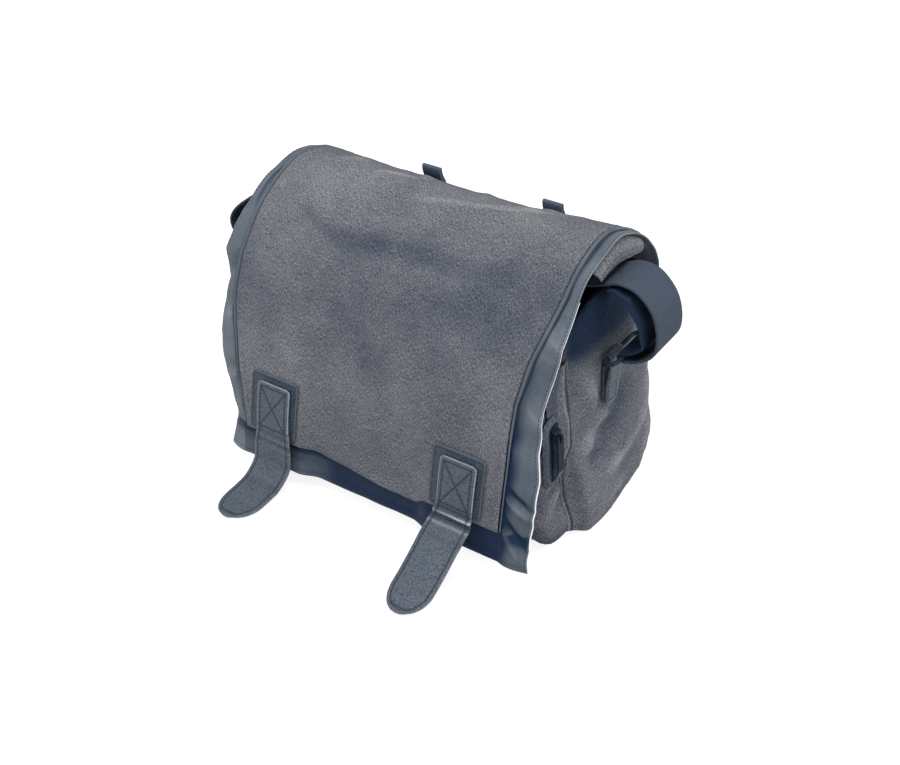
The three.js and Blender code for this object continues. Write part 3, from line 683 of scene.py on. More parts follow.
class Line:
    """A smooth line through points of a plane, read by its length."""

    STEPS = 600

    def __init__(self, points, through=True):
        self.points = [Vector(p) for p in points]
        if through:
            self.points = spaced(self.STEPS + 1, self._smooth)
        self.marks = [0.0]
        for a, b in zip(self.points, self.points[1:]):
            self.marks.append(self.marks[-1] + (b - a).length)
        self.length = self.marks[-1]

    def _smooth(self, share):
        rows = self.points
        last = len(rows) - 1
        place = last * share
        i = min(int(place), last - 1)
        w = place - i
        p0, p1, p2, p3 = rows[max(i - 1, 0)], rows[i], rows[i + 1], rows[min(i + 2, last)]
        v0, v1 = (p2 - p0) / 2, (p3 - p1) / 2
        return (2 * p1 - 2 * p2 + v0 + v1) * w**3 + (3 * p2 - 3 * p1 - 2 * v0 - v1) * w**2 + v0 * w + p1

    def at(self, length):
        length = clamp(length, 0, self.length)
        low, high = 0, len(self.marks) - 1
        while high - low > 1:
            middle = (low + high) // 2
            if self.marks[middle] <= length:
                low = middle
            else:
                high = middle
        span = self.marks[high] - self.marks[low]
        share = (length - self.marks[low]) / span if span else 0
        return self.points[low].lerp(self.points[high], share)

    def run(self, length, reach=0.4):
        return (self.at(length + reach) - self.at(length - reach)).normalized()

    def spread(self, count):
        return spaced(count, lambda share: self.at(share * self.length))


def fold_height(folds, a, b):
    """Height of the soft folds at a point of a panel. Each fold fades towards its ends."""
    height = 0.0
    for a0, b0, a1, b1, width, crest in folds:
        run = Vector((a1 - a0, b1 - b0))
        offset = Vector((a - a0, b - b0))
        share = clamp(offset.dot(run) / run.length_squared)
        away = (offset - run * share).length / width
        if away < FOLD_REACH:
            height += crest * math.exp(-away * away) * mix(FOLD_ENDS, 1, math.sin(math.pi * share))
    return height


# Lightening on crests is partly wear and partly a painted highlight; darkening in valleys is painted shade
def fold_wear_and_shading(kind, lift):
    crest, valley = FOLD_WEAR_AND_SHADING[kind]
    return lift * (crest if lift > 0 else valley)


def limited(kind, wear):
    return clamp(wear, *WEAR_AND_SHADE_LIMITS[kind])


def rumple(kind, a, b):
    """Irregular soft unevenness of the cloth at a point, in mm."""
    height, size, seed = RUMPLES[kind]
    return height * noise.fractal(Vector((a / size, b / size, seed)), 1.0, 2.0, 2)


def rounded_half(half, along, length, start, end):
    """Half width of a strip whose ends are rounded."""

    def drop(distance, radius):
        if distance >= radius:
            return 0.0
        return radius - math.sqrt(max(0.0, radius**2 - (radius - distance) ** 2))

    return half - max(drop(along, start), drop(length - along, end))


class Value:
    """A value in a finish; an expression on it adds Math nodes."""

    def __init__(self, finish, socket):
        self.finish = finish
        self.socket = socket

    def _with(self, operation, *values):
        return self.finish.node("ShaderNodeMath", {"operation": operation}, dict(enumerate(values)))

    def __add__(self, other):
        return self._with("ADD", self, other)

    __radd__ = __add__

    def __sub__(self, other):
        return self._with("SUBTRACT", self, other)

    def __rsub__(self, other):
        return self._with("SUBTRACT", other, self)

    def __mul__(self, other):
        return self._with("MULTIPLY", self, other)

    __rmul__ = __mul__

    def wave(self):
        return self._with("SINE", self)

    def most(self, other):
        return self._with("MAXIMUM", self, other)


class Finish:
    """One finish, made from nodes that read the piece's own place or its cloth map."""

    def __init__(self, name, roughness, **constants):
        self.material = bpy.data.materials.new(name)
        self.material.use_nodes = True
        self.nodes = self.material.node_tree.nodes
        self.links = self.material.node_tree.links
        self.nodes.clear()
        self.shader = self.nodes.new("ShaderNodeBsdfPrincipled")
        end = self.nodes.new("ShaderNodeOutputMaterial")
        self.links.new(self.shader.outputs[0], end.inputs["Surface"])
        self.give("Roughness", roughness)
        for socket, value in constants.items():
            self.give(socket.replace("_", " ").title().replace("Ior", "IOR"), value)

    def give(self, name, value):
        socket = self.shader.inputs[name]
        if isinstance(value, Value):
            self.links.new(value.socket, socket)
        else:
            socket.default_value = value

    def node(self, kind, settings=None, inputs=None, output=0):
        made = self.nodes.new(kind)
        for name, value in (settings or {}).items():
            if name == "stops":
                ramp = made.color_ramp
                while len(ramp.elements) < len(value):
                    ramp.elements.new(0.5)
                for element, (place, colour) in zip(ramp.elements, value):
                    element.position = place
                    element.color = (*colour, 1)
            else:
                setattr(made, name, value)
        for name, value in (inputs or {}).items():
            if isinstance(value, Value):
                self.links.new(value.socket, made.inputs[name])
            else:
                made.inputs[name].default_value = value
        return Value(self, made.outputs[output])

    def place(self):
        return self.node("ShaderNodeTexCoord", output=3)

    def cloth(self):
        return self.node("ShaderNodeUVMap", {"uv_map": "cloth"})

    def worn_and_painted_light(self):
        """How far the face is lightened, by wear and by painted highlights, and how deep it lies in painted
        shade: values above and below 0.
        """
        wear = self.node("ShaderNodeAttribute", {"attribute_name": "wear"}, output=2)
        return wear.most(0), (0 - wear).most(0)

    def stretched(self, vector, scale):
        return self.node("ShaderNodeVectorMath", {"operation": "MULTIPLY"}, {0: vector, 1: scale})

    def speckle(self, vector, scale, detail=2.0, rough=0.5):
        settings = {"Vector": vector, "Scale": scale, "Detail": detail, "Roughness": rough}
        return self.node("ShaderNodeTexNoise", None, settings)

    def eased(self, value, low, high, to_low=0.0, to_high=1.0):
        inputs = {0: value, 1: low, 2: high, 3: to_low, 4: to_high}
        return self.node("ShaderNodeMapRange", {"interpolation_type": "SMOOTHSTEP"}, inputs)

    def ramp(self, value, *stops):
        return self.node("ShaderNodeValToRGB", {"stops": stops}, {0: value})

    def tinted(self, share, a, b, how="MIX"):
        colours = [c if isinstance(c, Value) else (*c, 1) for c in (a, b)]
        settings = {"data_type": "RGBA", "blend_type": how}
        return self.node("ShaderNodeMix", settings, {0: share, 6: colours[0], 7: colours[1]}, output=2)

    def relief(self, height, depth, strength=1.0):
        inputs = {"Height": height, "Distance": depth * MM, "Strength": strength}
        self.give("Normal", self.node("ShaderNodeBump", None, inputs))


# Colour of the painted shade mixed into faces that lie in shadow
PAINTED_SHADE_NAVY = (0.004, 0.013, 0.035)


def washed_canvas():
    f = Finish("washed_canvas", 0.95, specular_ior_level=0.05)
    threads, place = f.cloth(), f.place()
    rubbed, sunk = f.worn_and_painted_light()
    warp = f.speckle(f.stretched(threads, (1700, 420, 1)), 1.0)
    weft = f.speckle(f.stretched(threads, (420, 1500, 1)), 1.0)
    slubs = f.speckle(f.stretched(threads, (1250, 1150, 1)), 1.0)
    grain = warp * 0.45 + weft * 0.2 + slubs * 0.35
    mottle = f.speckle(place, 140, 2.0, 0.6)
    patches = f.speckle(place, 14, 2.0, 0.5)
    # rubbed lightens worn places and adds painted highlights on fold crests and borders; sunk mixes in
    # painted shade
    tone = 0.5 + (grain - 0.5) * 4.1 + (mottle - 0.5) * 0.3 + (patches - 0.5) * 0.5 + rubbed * 0.3
    dyed = f.ramp(
        tone,
        (0.0, (0.021, 0.027, 0.038)),
        (0.38, (0.057, 0.063, 0.077)),
        (0.64, (0.097, 0.101, 0.113)),
        (1.0, (0.178, 0.179, 0.186)),
    )
    faded_and_lit = f.tinted(rubbed * 0.6, dyed, (1.05, 1.0, 0.95), "MULTIPLY")
    f.give("Base Color", f.tinted(sunk, faded_and_lit, PAINTED_SHADE_NAVY))
    f.relief(grain * 0.7 + mottle * 0.3, 0.5, 0.7)
    return f.material


def coated_nylon():
    f = Finish("coated_nylon", 0.55, specular_ior_level=0.07)
    place = f.place()
    rubbed, sunk = f.worn_and_painted_light()
    cloud = f.speckle(place, 26, 3.0, 0.55)
    crush = f.speckle(place, 190, 3.0, 0.6)
    threads = f.speckle(f.stretched(f.cloth(), (900, 900, 1)), 1.0, 0.0)
    tone = 0.5 + (cloud - 0.5) * 0.9 + (crush - 0.5) * 0.5 + (threads - 0.5) * 0.35
    slate = f.ramp(tone, (0.2, (0.045, 0.056, 0.070)), (0.8, (0.086, 0.102, 0.121)))
    # rubbed lightens worn edges and adds painted light on the corner wedge and ripple crests; sunk mixes in
    # painted shade
    lit = f.tinted(rubbed * 0.6, slate, (0.19, 0.205, 0.225))
    f.give("Base Color", f.tinted(sunk, lit, PAINTED_SHADE_NAVY))
    f.give("Roughness", f.eased(crush, 0.3, 0.7, 0.42, 0.58))
    f.relief(crush * 0.8 + threads * 0.2, 0.6, 0.6)
    return f.material


def pebbled_leather(name, dark, light, edge):
    f = Finish(name, 0.5, specular_ior_level=0.25)
    place = f.place()
    rubbed, sunk = f.worn_and_painted_light()
    drift = f.speckle(place, 240, 2.0)
    pebbles = f.node("ShaderNodeTexVoronoi", {"feature": "SMOOTH_F1"}, {"Vector": place, "Scale": 760.0})
    wrinkle = f.speckle(f.stretched(place, (460, 860, 860)), 1.0, 3.0, 0.6)
    grain = 0.75 - pebbles * 0.9 + (wrinkle - 0.5) * 1.3
    tone = 0.45 + (grain - 0.4) * 0.75 + (drift - 0.5) * 0.2
    hide = f.ramp(tone, (0.15, dark), (0.85, light))
    # rubbed lightens worn edges and crease ridges, partly a painted highlight; sunk darkens stitch grooves
    # and mixes in painted shade
    lit = f.tinted(rubbed, hide, edge)
    f.give("Base Color", f.tinted(sunk, lit, (0.006, 0.012, 0.024)))
    f.give("Roughness", f.eased(drift, 0.3, 0.7, 0.42, 0.6))
    f.relief(grain, 0.95, 0.9)
    return f.material


def ribbed_webbing(name, dark, light):
    f = Finish(name, 0.8, specular_ior_level=0.08)
    threads = f.cloth()
    sunk = f.worn_and_painted_light()[1]
    across = f.node("ShaderNodeSeparateXYZ", None, {0: threads})
    along = f.node("ShaderNodeSeparateXYZ", None, {0: threads}, output=1)
    ribs = (across * 4100).wave()
    picks = (along * 3300 + ribs * 1.4).wave()
    weave = (ribs * 0.5 + 0.5) * 0.6 + (picks * 0.5 + 0.5) * 0.4
    fuzz = f.speckle(f.stretched(threads, (700, 160, 1)), 1.0)
    tone = weave * 0.55 + fuzz * 0.45
    woven = f.ramp(tone, (0.15, dark), (0.85, light))
    # sunk mixes in painted shade, on the strap's turned-back end inside the loop
    f.give("Base Color", f.tinted(sunk, woven, PAINTED_SHADE_NAVY))
    f.relief(weave, 0.35, 0.6)
    return f.material


def dark_tape():
    f = Finish("dark_tape", 0.85, specular_ior_level=0.06)
    threads = f.speckle(f.stretched(f.cloth(), (1400, 900, 1)), 1.0)
    f.give("Base Color", f.ramp(threads, (0.25, (0.006, 0.014, 0.030)), (0.8, (0.017, 0.030, 0.054))))
    f.relief(threads, 0.25, 0.5)
    return f.material


def dark_metal(name, dark, light, roughness):
    f = Finish(name, roughness, metallic=0.0, specular_ior_level=0.08)
    place = f.place()
    rubbed = f.speckle(place, 420, 3.0, 0.6)
    f.give("Base Color", f.ramp(rubbed, (0.35, dark), (0.75, light)))
    f.give("Roughness", f.eased(rubbed, 0.3, 0.7, roughness - 0.08, roughness + 0.12))
    f.relief(rubbed, 0.06, 0.3)
    return f.material


def waxed_thread(name, dark, light):
    f = Finish(name, 0.7, specular_ior_level=0.3)
    twist = f.speckle(f.place(), 2600, 1.0)
    f.give("Base Color", f.ramp(twist, (0.3, dark), (0.75, light)))
    f.relief(twist, 0.1, 0.5)
    return f.material


def studio_floor():
    f = Finish("studio_floor", 0.9, specular_ior_level=0.1, emission_strength=0.85)
    f.give("Emission Color", (1, 1, 1, 1))
    grain = f.speckle(f.place(), 6, 2.0)
    f.give("Base Color", f.ramp(grain, (0.2, (0.27, 0.27, 0.27)), (0.8, (0.3, 0.3, 0.3))))
    return f.material


# Leathers, webbings, metals and threads: finish, name of the material, then its colours and gloss
LEATHERS = {
    "pad": ("pad_leather", (0.012, 0.021, 0.035), (0.053, 0.070, 0.092), (0.10, 0.12, 0.145)),
    "tongue": ("tongue_leather", (0.029, 0.039, 0.054), (0.101, 0.120, 0.146), (0.28, 0.31, 0.35)),
    "tab": ("tab_leather", (0.020, 0.028, 0.040), (0.080, 0.095, 0.115), (0.16, 0.18, 0.21)),
}
WEBBINGS = {
    "webbing": ("strap_weave", (0.020, 0.0275, 0.041), (0.047, 0.059, 0.080)),
    "loop": ("loop_weave", (0.031, 0.044, 0.066), (0.078, 0.102, 0.140)),
}
METALS = {
    "metal": ("dark_metal", (0.006, 0.010, 0.018), (0.030, 0.038, 0.052), 0.36),
    "pull": ("painted_pull", (0.003, 0.007, 0.014), (0.014, 0.022, 0.034), 0.6),
}
THREADS = {
    "thread": ("dark_thread", (0.004, 0.007, 0.013), (0.016, 0.022, 0.033)),
    "grey_thread": ("grey_thread", (0.05, 0.06, 0.078), (0.11, 0.125, 0.15)),
    "pale_and_highlight": ("pale_edge", (0.5, 0.52, 0.55), (0.75, 0.76, 0.78)),
}
FINISHES = {"canvas": washed_canvas(), "nylon": coated_nylon(), "tape": dark_tape()}
for kind, rows in (
    (pebbled_leather, LEATHERS),
    (ribbed_webbing, WEBBINGS),
    (dark_metal, METALS),
    (waxed_thread, THREADS),
):
    FINISHES.update({finish: kind(*row) for finish, row in rows.items()})


def laid(grid, place, measure, wear=None, flip=False):
    """A grid of cloth: place and measure take shares across and along, and give mm."""
    across, along = GRIDS[grid]
    bm = bmesh.new()
    bmesh.ops.create_grid(bm, x_segments=across, y_segments=along, size=0.5)
    threads = bm.loops.layers.uv.new("cloth")
    worn_and_painted_light = bm.verts.layers.float.new("wear")
    shares = {v: (v.co.x + 0.5, v.co.y + 0.5) for v in bm.verts}
    for v, share in shares.items():
        v.co = place(*share) * MM
        v[worn_and_painted_light] = wear(*share) if wear else 0.0
    for face in bm.faces:
        for loop in face.loops:
            loop[threads].uv = Vector(measure(*shares[loop.vert])) * MM
    if flip:
        bmesh.ops.reverse_faces(bm, faces=bm.faces[:])
    return bm


def piece(name, bm, finish, replaces=(), wall=0.0, sunk=-1.0, edge=0.0):
    """A finished piece on the bag. wall is its thickness in mm, laid inwards from its face."""
    mesh = bpy.data.meshes.new(name)
    bm.to_mesh(mesh)
    bm.free()
    mesh.shade_smooth()
    obj = bpy.data.objects.new(name, mesh)
    bpy.context.scene.collection.objects.link(obj)
    mesh.materials.append(FINISHES[finish])
    if wall:
        solid = obj.modifiers.new("wall", "SOLIDIFY")
        solid.thickness = wall * MM
        solid.offset = sunk
        solid.use_even_offset = False
    if edge:
        bevel = obj.modifiers.new("edge", "BEVEL")
        bevel.width = edge * MM
        bevel.segments = 2
        bevel.limit_method = "ANGLE"
        bevel.angle_limit = math.radians(50)
    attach(obj, "bag")
    if replaces:
        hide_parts(*replaces)
    return obj


def bead(name, points, radius, finish, closed=False, replaces=(), taper=None):
    """A round bead, cord or wire along points in mm. taper gives its width from the share of its length."""
    curve = bpy.data.curves.new(name, "CURVE")
    curve.dimensions = "3D"
    curve.bevel_depth = radius * MM
    curve.bevel_resolution = 3
    curve.use_fill_caps = not closed
    spline = curve.splines.new("POLY")
    spline.points.add(len(points) - 1)
    for i, (knot, p) in enumerate(zip(spline.points, points)):
        knot.co = (*(p * MM), 1)
        knot.radius = taper(i / (len(points) - 1)) if taper else 1
    spline.use_cyclic_u = closed
    guide = bpy.data.objects.new(name + "_guide", curve)
    bm = bmesh.new()
    mesh = guide.to_mesh()
    bm.from_mesh(mesh)
    guide.to_mesh_clear()
    bpy.data.objects.remove(guide)
    bpy.data.curves.remove(curve)
    return piece(name, bm, finish, replaces)


def sewn(bm, line, pitch, stitch, width, height):
    """A row of stitches along a line of (point, face normal), in mm."""
    marks = [0.0]
    for (a, _), (b, _) in zip(line, line[1:]):
        marks.append(marks[-1] + (b - a).length)
    count = max(1, round(marks[-1] / pitch))
    spot = 0
    for i in range(count):
        middle = marks[-1] * (i + 0.5) / count
        while spot < len(marks) - 2 and marks[spot + 1] < middle:
            spot += 1
        (a, normal_a), (b, normal_b) = line[spot], line[spot + 1]
        span = marks[spot + 1] - marks[spot]
        share = (middle - marks[spot]) / span if span else 0
        run = (b - a).normalized()
        up = normal_a.lerp(normal_b, share)
        up = (up - run * up.dot(run)).normalized()
        side = up.cross(run)
        turn = Matrix((run, side, up)).transposed().to_4x4()
        size = Matrix.Diagonal((stitch / 2, width / 2, height / 2, 1))
        place = Matrix.Translation(a.lerp(b, share))
        shape = Matrix.Scale(MM, 4) @ place @ turn @ size
        bmesh.ops.create_icosphere(bm, subdivisions=1, radius=1, matrix=shape)


def stitching(name, lines, kind, finish="thread"):
    bm = bmesh.new()
    for line in lines:
        sewn(bm, line, *STITCHES[kind])
    return piece(name, bm, finish)


def swollen(obj, held, pressure, slack, most):
    """Cloth swollen from inside, held at its seams. Each point stays within `most` mm of its start."""
    scene = bpy.context.scene
    start = [v.co.copy() for v in obj.data.vertices]
    seams = obj.vertex_groups.new(name="seams")
    for v in obj.data.vertices:
        weight = held(*(v.co / MM))
        if weight > 0:
            seams.add([v.index], weight, "REPLACE")
    swell = obj.modifiers.new("swell", "CLOTH")
    cloth = swell.settings
    cloth.quality = 6
    cloth.mass = 0.25
    cloth.tension_stiffness = 12
    cloth.compression_stiffness = 12
    cloth.shear_stiffness = 5
    cloth.bending_stiffness = 0.4
    cloth.vertex_group_mass = "seams"
    cloth.use_pressure = True
    cloth.uniform_pressure_force = pressure
    cloth.shrink_min = -slack
    cloth.effector_weights.gravity = 0
    swell.collision_settings.use_collision = False
    for number in range(SWELL_FRAMES):
        scene.frame_set(number + 1)
    made = obj.evaluated_get(bpy.context.evaluated_depsgraph_get())
    moved = [v.co.copy() for v in made.data.vertices]
    obj.modifiers.remove(swell)
    obj.vertex_groups.remove(seams)
    for v, a, b in zip(obj.data.vertices, start, moved):
        shift = b - a
        if shift.length > most * MM:
            shift *= most * MM / shift.length
        v.co = a + shift
    scene.frame_set(1)


def creased(obj, relief, lowest, openings):
    """Folds laid on a tub and its openings closed: relief gives each point's lift in mm and its wear and
    painted light.
    """
    bm = bmesh.new()
    bm.from_mesh(obj.data)
    bm.normal_update()
    worn_and_painted_light = bm.verts.layers.float["wear"]
    shifts = {}
    for v in bm.verts:
        lift, v[worn_and_painted_light] = relief(*(v.co / MM))
        shifts[v] = v.normal * (lift * MM)
    for v, shift in shifts.items():
        v.co += shift
        v.co.z = max(v.co.z, lowest * MM)
    edges = [e for e in bm.edges if e.is_boundary]
    for level in openings:
        ring = [e for e in edges if all(abs(v.co.z / MM - level) < EDGE_BAND for v in e.verts)]
        bmesh.ops.contextual_create(bm, geom=ring)
    if not any(e.is_boundary for e in bm.edges):
        bmesh.ops.recalc_face_normals(bm, faces=bm.faces[:])
    bm.to_mesh(obj.data)
    bm.free()
    obj.data.shade_smooth()


def outline(half, front, back, rear_round, front_round, side_bulge=0.0, back_bulge=0.0):
    """Rounded rectangle whose sides and back bulge between soft corners, from the middle of its front."""
    corner, rear = half - side_bulge, back - back_bulge
    middle = (front + rear) / 2
    knots = [
        ((corner - front_round, front), (corner, front), (corner, front + front_round)),
        ((corner, front + front_round), (corner + 2 * side_bulge, middle), (corner, rear - rear_round)),
        ((corner, rear - rear_round), (corner, rear), (corner - rear_round, rear)),
        ((corner - rear_round, rear), (0, rear + 2 * back_bulge), (rear_round - corner, rear)),
    ]
    right = [Vector((0, front))]
    for a, b, c in knots[:3]:
        a, b, c = Vector(a), Vector(b), Vector(c)
        right += [a.lerp(b, i / 16).lerp(b.lerp(c, i / 16), i / 16) for i in range(17)]
    a, b, c = (Vector(p) for p in knots[3])
    right += [a.lerp(b, i / 32).lerp(b.lerp(c, i / 32), i / 32) for i in range(1, 17)]
    left = [Vector((-p.x, p.y)) for p in reversed(right[:-1])]
    return Line(right + left, through=False)


@lru_cache(maxsize=None)
def body_outline(z):
    half, front, back, rear_round = (read_rows(BODY_LEVELS, z, column) for column in (1, 2, 3, 4))
    return outline(half, front, back, rear_round, FRONT_ROUND, SIDE_BULGE, BACK_BULGE)


def side_x(z):
    return read_rows(BODY_LEVELS, z, 1)


def flare(y, z):
    fore = fade(y, FLARE_FRONT, FLARE_REAR)
    return FLARE_OUT * fore * fade(z, FLARE_LOW, FLARE_HIGH)


def body_place(share, height):
    z = height * BODY_LEVELS[-1][0]
    line = body_outline(round(z, 4))
    p = line.at(share * line.length)
    if z > RIM_BEND:
        rise = RIM_ARCH * max(0.0, 1 - (p.y / RIM_REACH) ** 2)
        z = RIM_BEND + (z - RIM_BEND) * (1 + rise / (BODY_LEVELS[-1][0] - RIM_BEND))
    start, full = (side_x(z) - inside for inside in FLARE_FROM_EDGE)
    wide = flare(p.y, z) * smoothstep(abs(p.x), start, full)
    return Vector((p.x + math.copysign(wide, p.x), p.y, z))


def tab_y(z):
    return TAB_Y + TAB_LEAN * (z - TAB_FOLD)


def near_tab(y, z):
    """1 under a side tab, where the panel lies flat, and 0 away from it."""
    return smoothstep(abs(y - tab_y(z)), *TAB_FLAT) * smoothstep(z, *TAB_FLAT_Z)


def side_relief(x, y, z):
    folds = [row[1:] for row in SIDE_FOLDS if row[0] * x > 0]
    return fold_height(folds, y, z) + rumple("side_" + word_of(x), y, z)


def make_body():
    bm = laid("body", body_place, cut(*BODY_CLOTH))
    bmesh.ops.remove_doubles(bm, verts=bm.verts[:], dist=WELD)
    obj = piece("bag_body", bm, "canvas", ["body_shell"])

    def held(x, y, z):
        front = smoothstep(y, *BODY_HELD_FRONT)
        low = smoothstep(z, *BODY_HELD_LOW)
        rim = smoothstep(z, *BODY_HELD_RIM)
        return max(front, low, rim, near_tab(y, z) * smoothstep(abs(x), *BODY_HELD_TAB))

    def relief(x, y, z):
        start, full = (side_x(min(z, BODY_LEVELS[-1][0])) - inside for inside in SIDE_PANEL_IN)
        on_side = smoothstep(abs(x), start, full) * smoothstep(y, *SIDE_PANEL_Y)
        on_back = smoothstep(y, *BACK_PANEL_Y) * (1 - on_side)
        free = smoothstep(z, *FOLDS_LOW) * smoothstep(z, *FOLDS_HIGH) * (1 - near_tab(y, z))
        lift = on_side * side_relief(x, y, z)
        lift += on_back * (fold_height(BACK_FOLDS, x, z) + rumple("back", x, z))
        # Painted shade under the flap, a painted highlight along the rear border, and wear along the base
        shade = on_side * graded(z, SIDE_SHADE)
        border = on_side * striped(y, *REAR_BORDER_HIGHLIGHT) * (1 - shade) + striped(z, *BASE_BORDER)
        return lift * free, limited("body", fold_wear_and_shading("body", lift) * free + border - shade)

    swollen(obj, held, pressure=3.0, slack=0.03, most=5)
    creased(obj, relief, 0, BODY_LEVELS[0][:1])
    wall = obj.modifiers.new("wall", "SOLIDIFY")
    wall.thickness = BODY_WALL * MM
    wall.offset = -1


@lru_cache(maxsize=None)
def pocket_outline(z):
    sides, tuck = (read_rows(POCKET_LEVELS, z, column, smooth=True) for column in (1, 2))
    return outline(POCKET_HALF - sides, POCKET_FRONT + tuck, POCKET_BACK, POCKET_REAR_ROUND, POCKET_ROUND)


def pocket_place(share, height):
    z = mix(POCKET_LEVELS[0][0], POCKET_LEVELS[-1][0], height)
    line = pocket_outline(round(z, 4))
    p = line.at(share * line.length)
    return Vector((p.x, p.y, z))


def make_pocket():
    bm = laid("pocket", pocket_place, cut(*POCKET_CLOTH))
    bmesh.ops.remove_doubles(bm, verts=bm.verts[:], dist=WELD)
    obj = piece("pocket_pouch", bm, "canvas", ["front_pocket"])

    def by_zip(x, y):
        return smoothstep(x, *ZIP_FLAT_X) * smoothstep(abs(y - ZIP_Y), *ZIP_FLAT_Y)

    def held(x, y, z):
        rear = smoothstep(y, *POCKET_HELD_REAR)
        low = smoothstep(z, *POCKET_HELD_LOW)
        top = smoothstep(z, *POCKET_HELD_TOP)
        return max(rear, low, top, by_zip(x, y))

    def relief(x, y, z):
        free = smoothstep(y, *POCKET_FREE_Y) * smoothstep(z, *POCKET_FREE_Z)
        free *= 1 - by_zip(x, y) * smoothstep(z, *ZIP_FLAT_Z)
        gathers = fold_height(POCKET_FOLDS, y, z) * smoothstep(abs(x), *POCKET_SIDE_X)
        lift = rumple("pocket", x + y, z) + gathers
        # Painted shade over the pocket and towards its base and top
        shade = POCKET_TONE + graded(z, *POCKET_SHADES)
        return lift * free, limited("pocket", fold_wear_and_shading("pocket", lift) * free - shade)

    swollen(obj, held, pressure=2.0, slack=0.03, most=4)
    creased(obj, relief, 0.6, (POCKET_LEVELS[0][0], POCKET_LEVELS[-1][0]))
    for word in SIDES:
        make_pocket_seam(word)


def make_pocket_seam(word):
    """The gusset's sewn edge, from the side of the pocket round the front corner of the body."""
    side = SIDES[word]
    steps = GRIDS["seam"][1]

    def level(t):
        return mix(SEAM_LOW, SEAM_HIGH, t)

    def seam_line(t):
        z = level(t)
        near = POCKET_HALF - read_rows(POCKET_LEVELS, min(z, POCKET_SHOULDER), 1, smooth=True)
        far = side_x(z) - SIDE_BULGE + flare(SEAM_FLARE_Y, z)
        points = [(near - SEAM_TUCK, read_rows(SEAM_REACH, z, 1, smooth=True))]
        points += [(mix(near, far, share) - inside, y) for share, inside, y in SEAM_PATH]
        return Line(points)

    lines = spaced(steps + 1, seam_line)

    def from_stitches(s, t):
        return s - read_rows(SEAM_WANDER, level(t), 1, smooth=True)

    def ridge(s, t):
        return striped(from_stitches(s, t), *SEAM_RIDGE)

    def place(s, t):
        z = level(t)
        line = lines[round(t * steps)]
        p = line.at(s * line.length)
        run = line.run(s * line.length)
        pucker = rumple("seam_" + word, z, SEAM_PUCKER_WIDTH * s) + ridge(s, t)
        lift = SEAM_LIFT + pucker * math.sin(math.pi * s)
        return Vector((side * (p.x + run.y * lift), p.y - run.x * lift, z))

    def wear(s, t):
        above = graded(t, SEAM_SHADE) * smoothstep(s, *SEAM_SHADE_ACROSS)
        groove = striped(from_stitches(s, t), *SEAM_GROOVE)
        return limited("seam", ridge(s, t) - above - groove)

    bm = laid("seam", place, cut(*SEAM_CLOTH), wear, flip=side < 0)
    piece(f"pocket_seam_{word}", bm, "canvas", wall=0.8)


def make_zip():
    span = ZIP_HIGH - ZIP_LOW

    def tape_place(s, t):
        return Vector((ZIP_FACE + ZIP_THICK, ZIP_Y + (s - 0.5) * ZIP_TAPE, ZIP_LOW + t * span))

    bm = laid("tape", tape_place, cut(ZIP_TAPE, span))
    tape = piece("zip_cloth", bm, "tape", ["zip_tape"], wall=ZIP_THICK)
    bm = bmesh.new()
    size = Matrix.Diagonal((*TOOTH_SIZE, 1))
    for i in range(int((span - 2 * TOOTH_MARGIN) / TOOTH_PITCH)):
        z = ZIP_LOW + TOOTH_MARGIN + i * TOOTH_PITCH
        for side in SIDES.values():
            place = (ZIP_FACE + ZIP_THICK + TOOTH_RISE, ZIP_Y + side * TOOTH_OFF, z + side * TOOTH_PITCH / 4)
            tooth = Matrix.Translation(place)
            bmesh.ops.create_cube(bm, size=1, matrix=Matrix.Scale(MM, 4) @ tooth @ size)
    piece("zip_teeth", bm, "metal", edge=0.2)


def make_zip_lips():
    """The canvas of the gusset, folded over the edges of the zip's tape."""

    def spot(s, t):
        half, past = (read_rows(ZIP_LIPS, t, column, smooth=True) for column in (1, 2))
        line = outline(half, ZIP_LOW - past, ZIP_HIGH + past, LIP_ROUND * half, LIP_ROUND * half)
        return line.at(s * line.length)

    def place(s, t):
        p = spot(s, t)
        pucker = rumple("lips", p.x, p.y) * math.sin(math.pi * t)
        height = read_rows(ZIP_LIPS, t, 3, smooth=True) + pucker
        return Vector((ZIP_FACE + height, ZIP_Y + p.x + rumple("lip_line", p.y, 0), p.y))

    def wear(s, t):
        p = spot(s, t)
        rear = smoothstep(p.x, *LIP_REAR) * smoothstep(p.y, *LIP_LOW)
        # Painted shade on the front lip and the inner edge
        return read_rows(ZIP_LIPS, t, 4) * mix(LIP_FRONT_WEAR, 1, rear) - LIP_FRONT_SHADE * (1 - rear)

    bm = laid("lips", place, cut(*LIP_CLOTH), wear)
    bmesh.ops.remove_doubles(bm, verts=bm.verts[:], dist=WELD)
    piece("zip_lips", bm, "canvas", wall=0.8)
    seam = spaced(120, lambda share: (place(share, LIP_SEAM), Vector((1, 0, 0))))
    stitching("zip_stitches", [seam], "zip")


FLAP_CURVE = Line(FLAP_PROFILE)
FLAP_LENGTH = FLAP_CURVE.length
CANVAS_HEM = 1 - HEM_ABOVE_LINING / FLAP_LENGTH
PAD_END = CANVAS_HEM - PAD_ABOVE_HEM / FLAP_LENGTH
PAD_START = PAD_END - PAD_HEIGHT / FLAP_LENGTH


@lru_cache(maxsize=None)
def flap_line(u):
    p = FLAP_CURVE.at(u * FLAP_LENGTH)
    run = FLAP_CURVE.run(u * FLAP_LENGTH)
    return p.x, p.y, run.x, run.y


@lru_cache(maxsize=None)
def panel_edge(u, word):
    return read_rows(PANEL_EDGE, u, 1 if word == "left" else 2)


@lru_cache(maxsize=None)
def wing_width(u, word):
    return read_rows(WING_WIDTH, u, 1 if word == "left" else 2)


def wing_edge(u, word):
    return panel_edge(u, word) + wing_width(u, word)


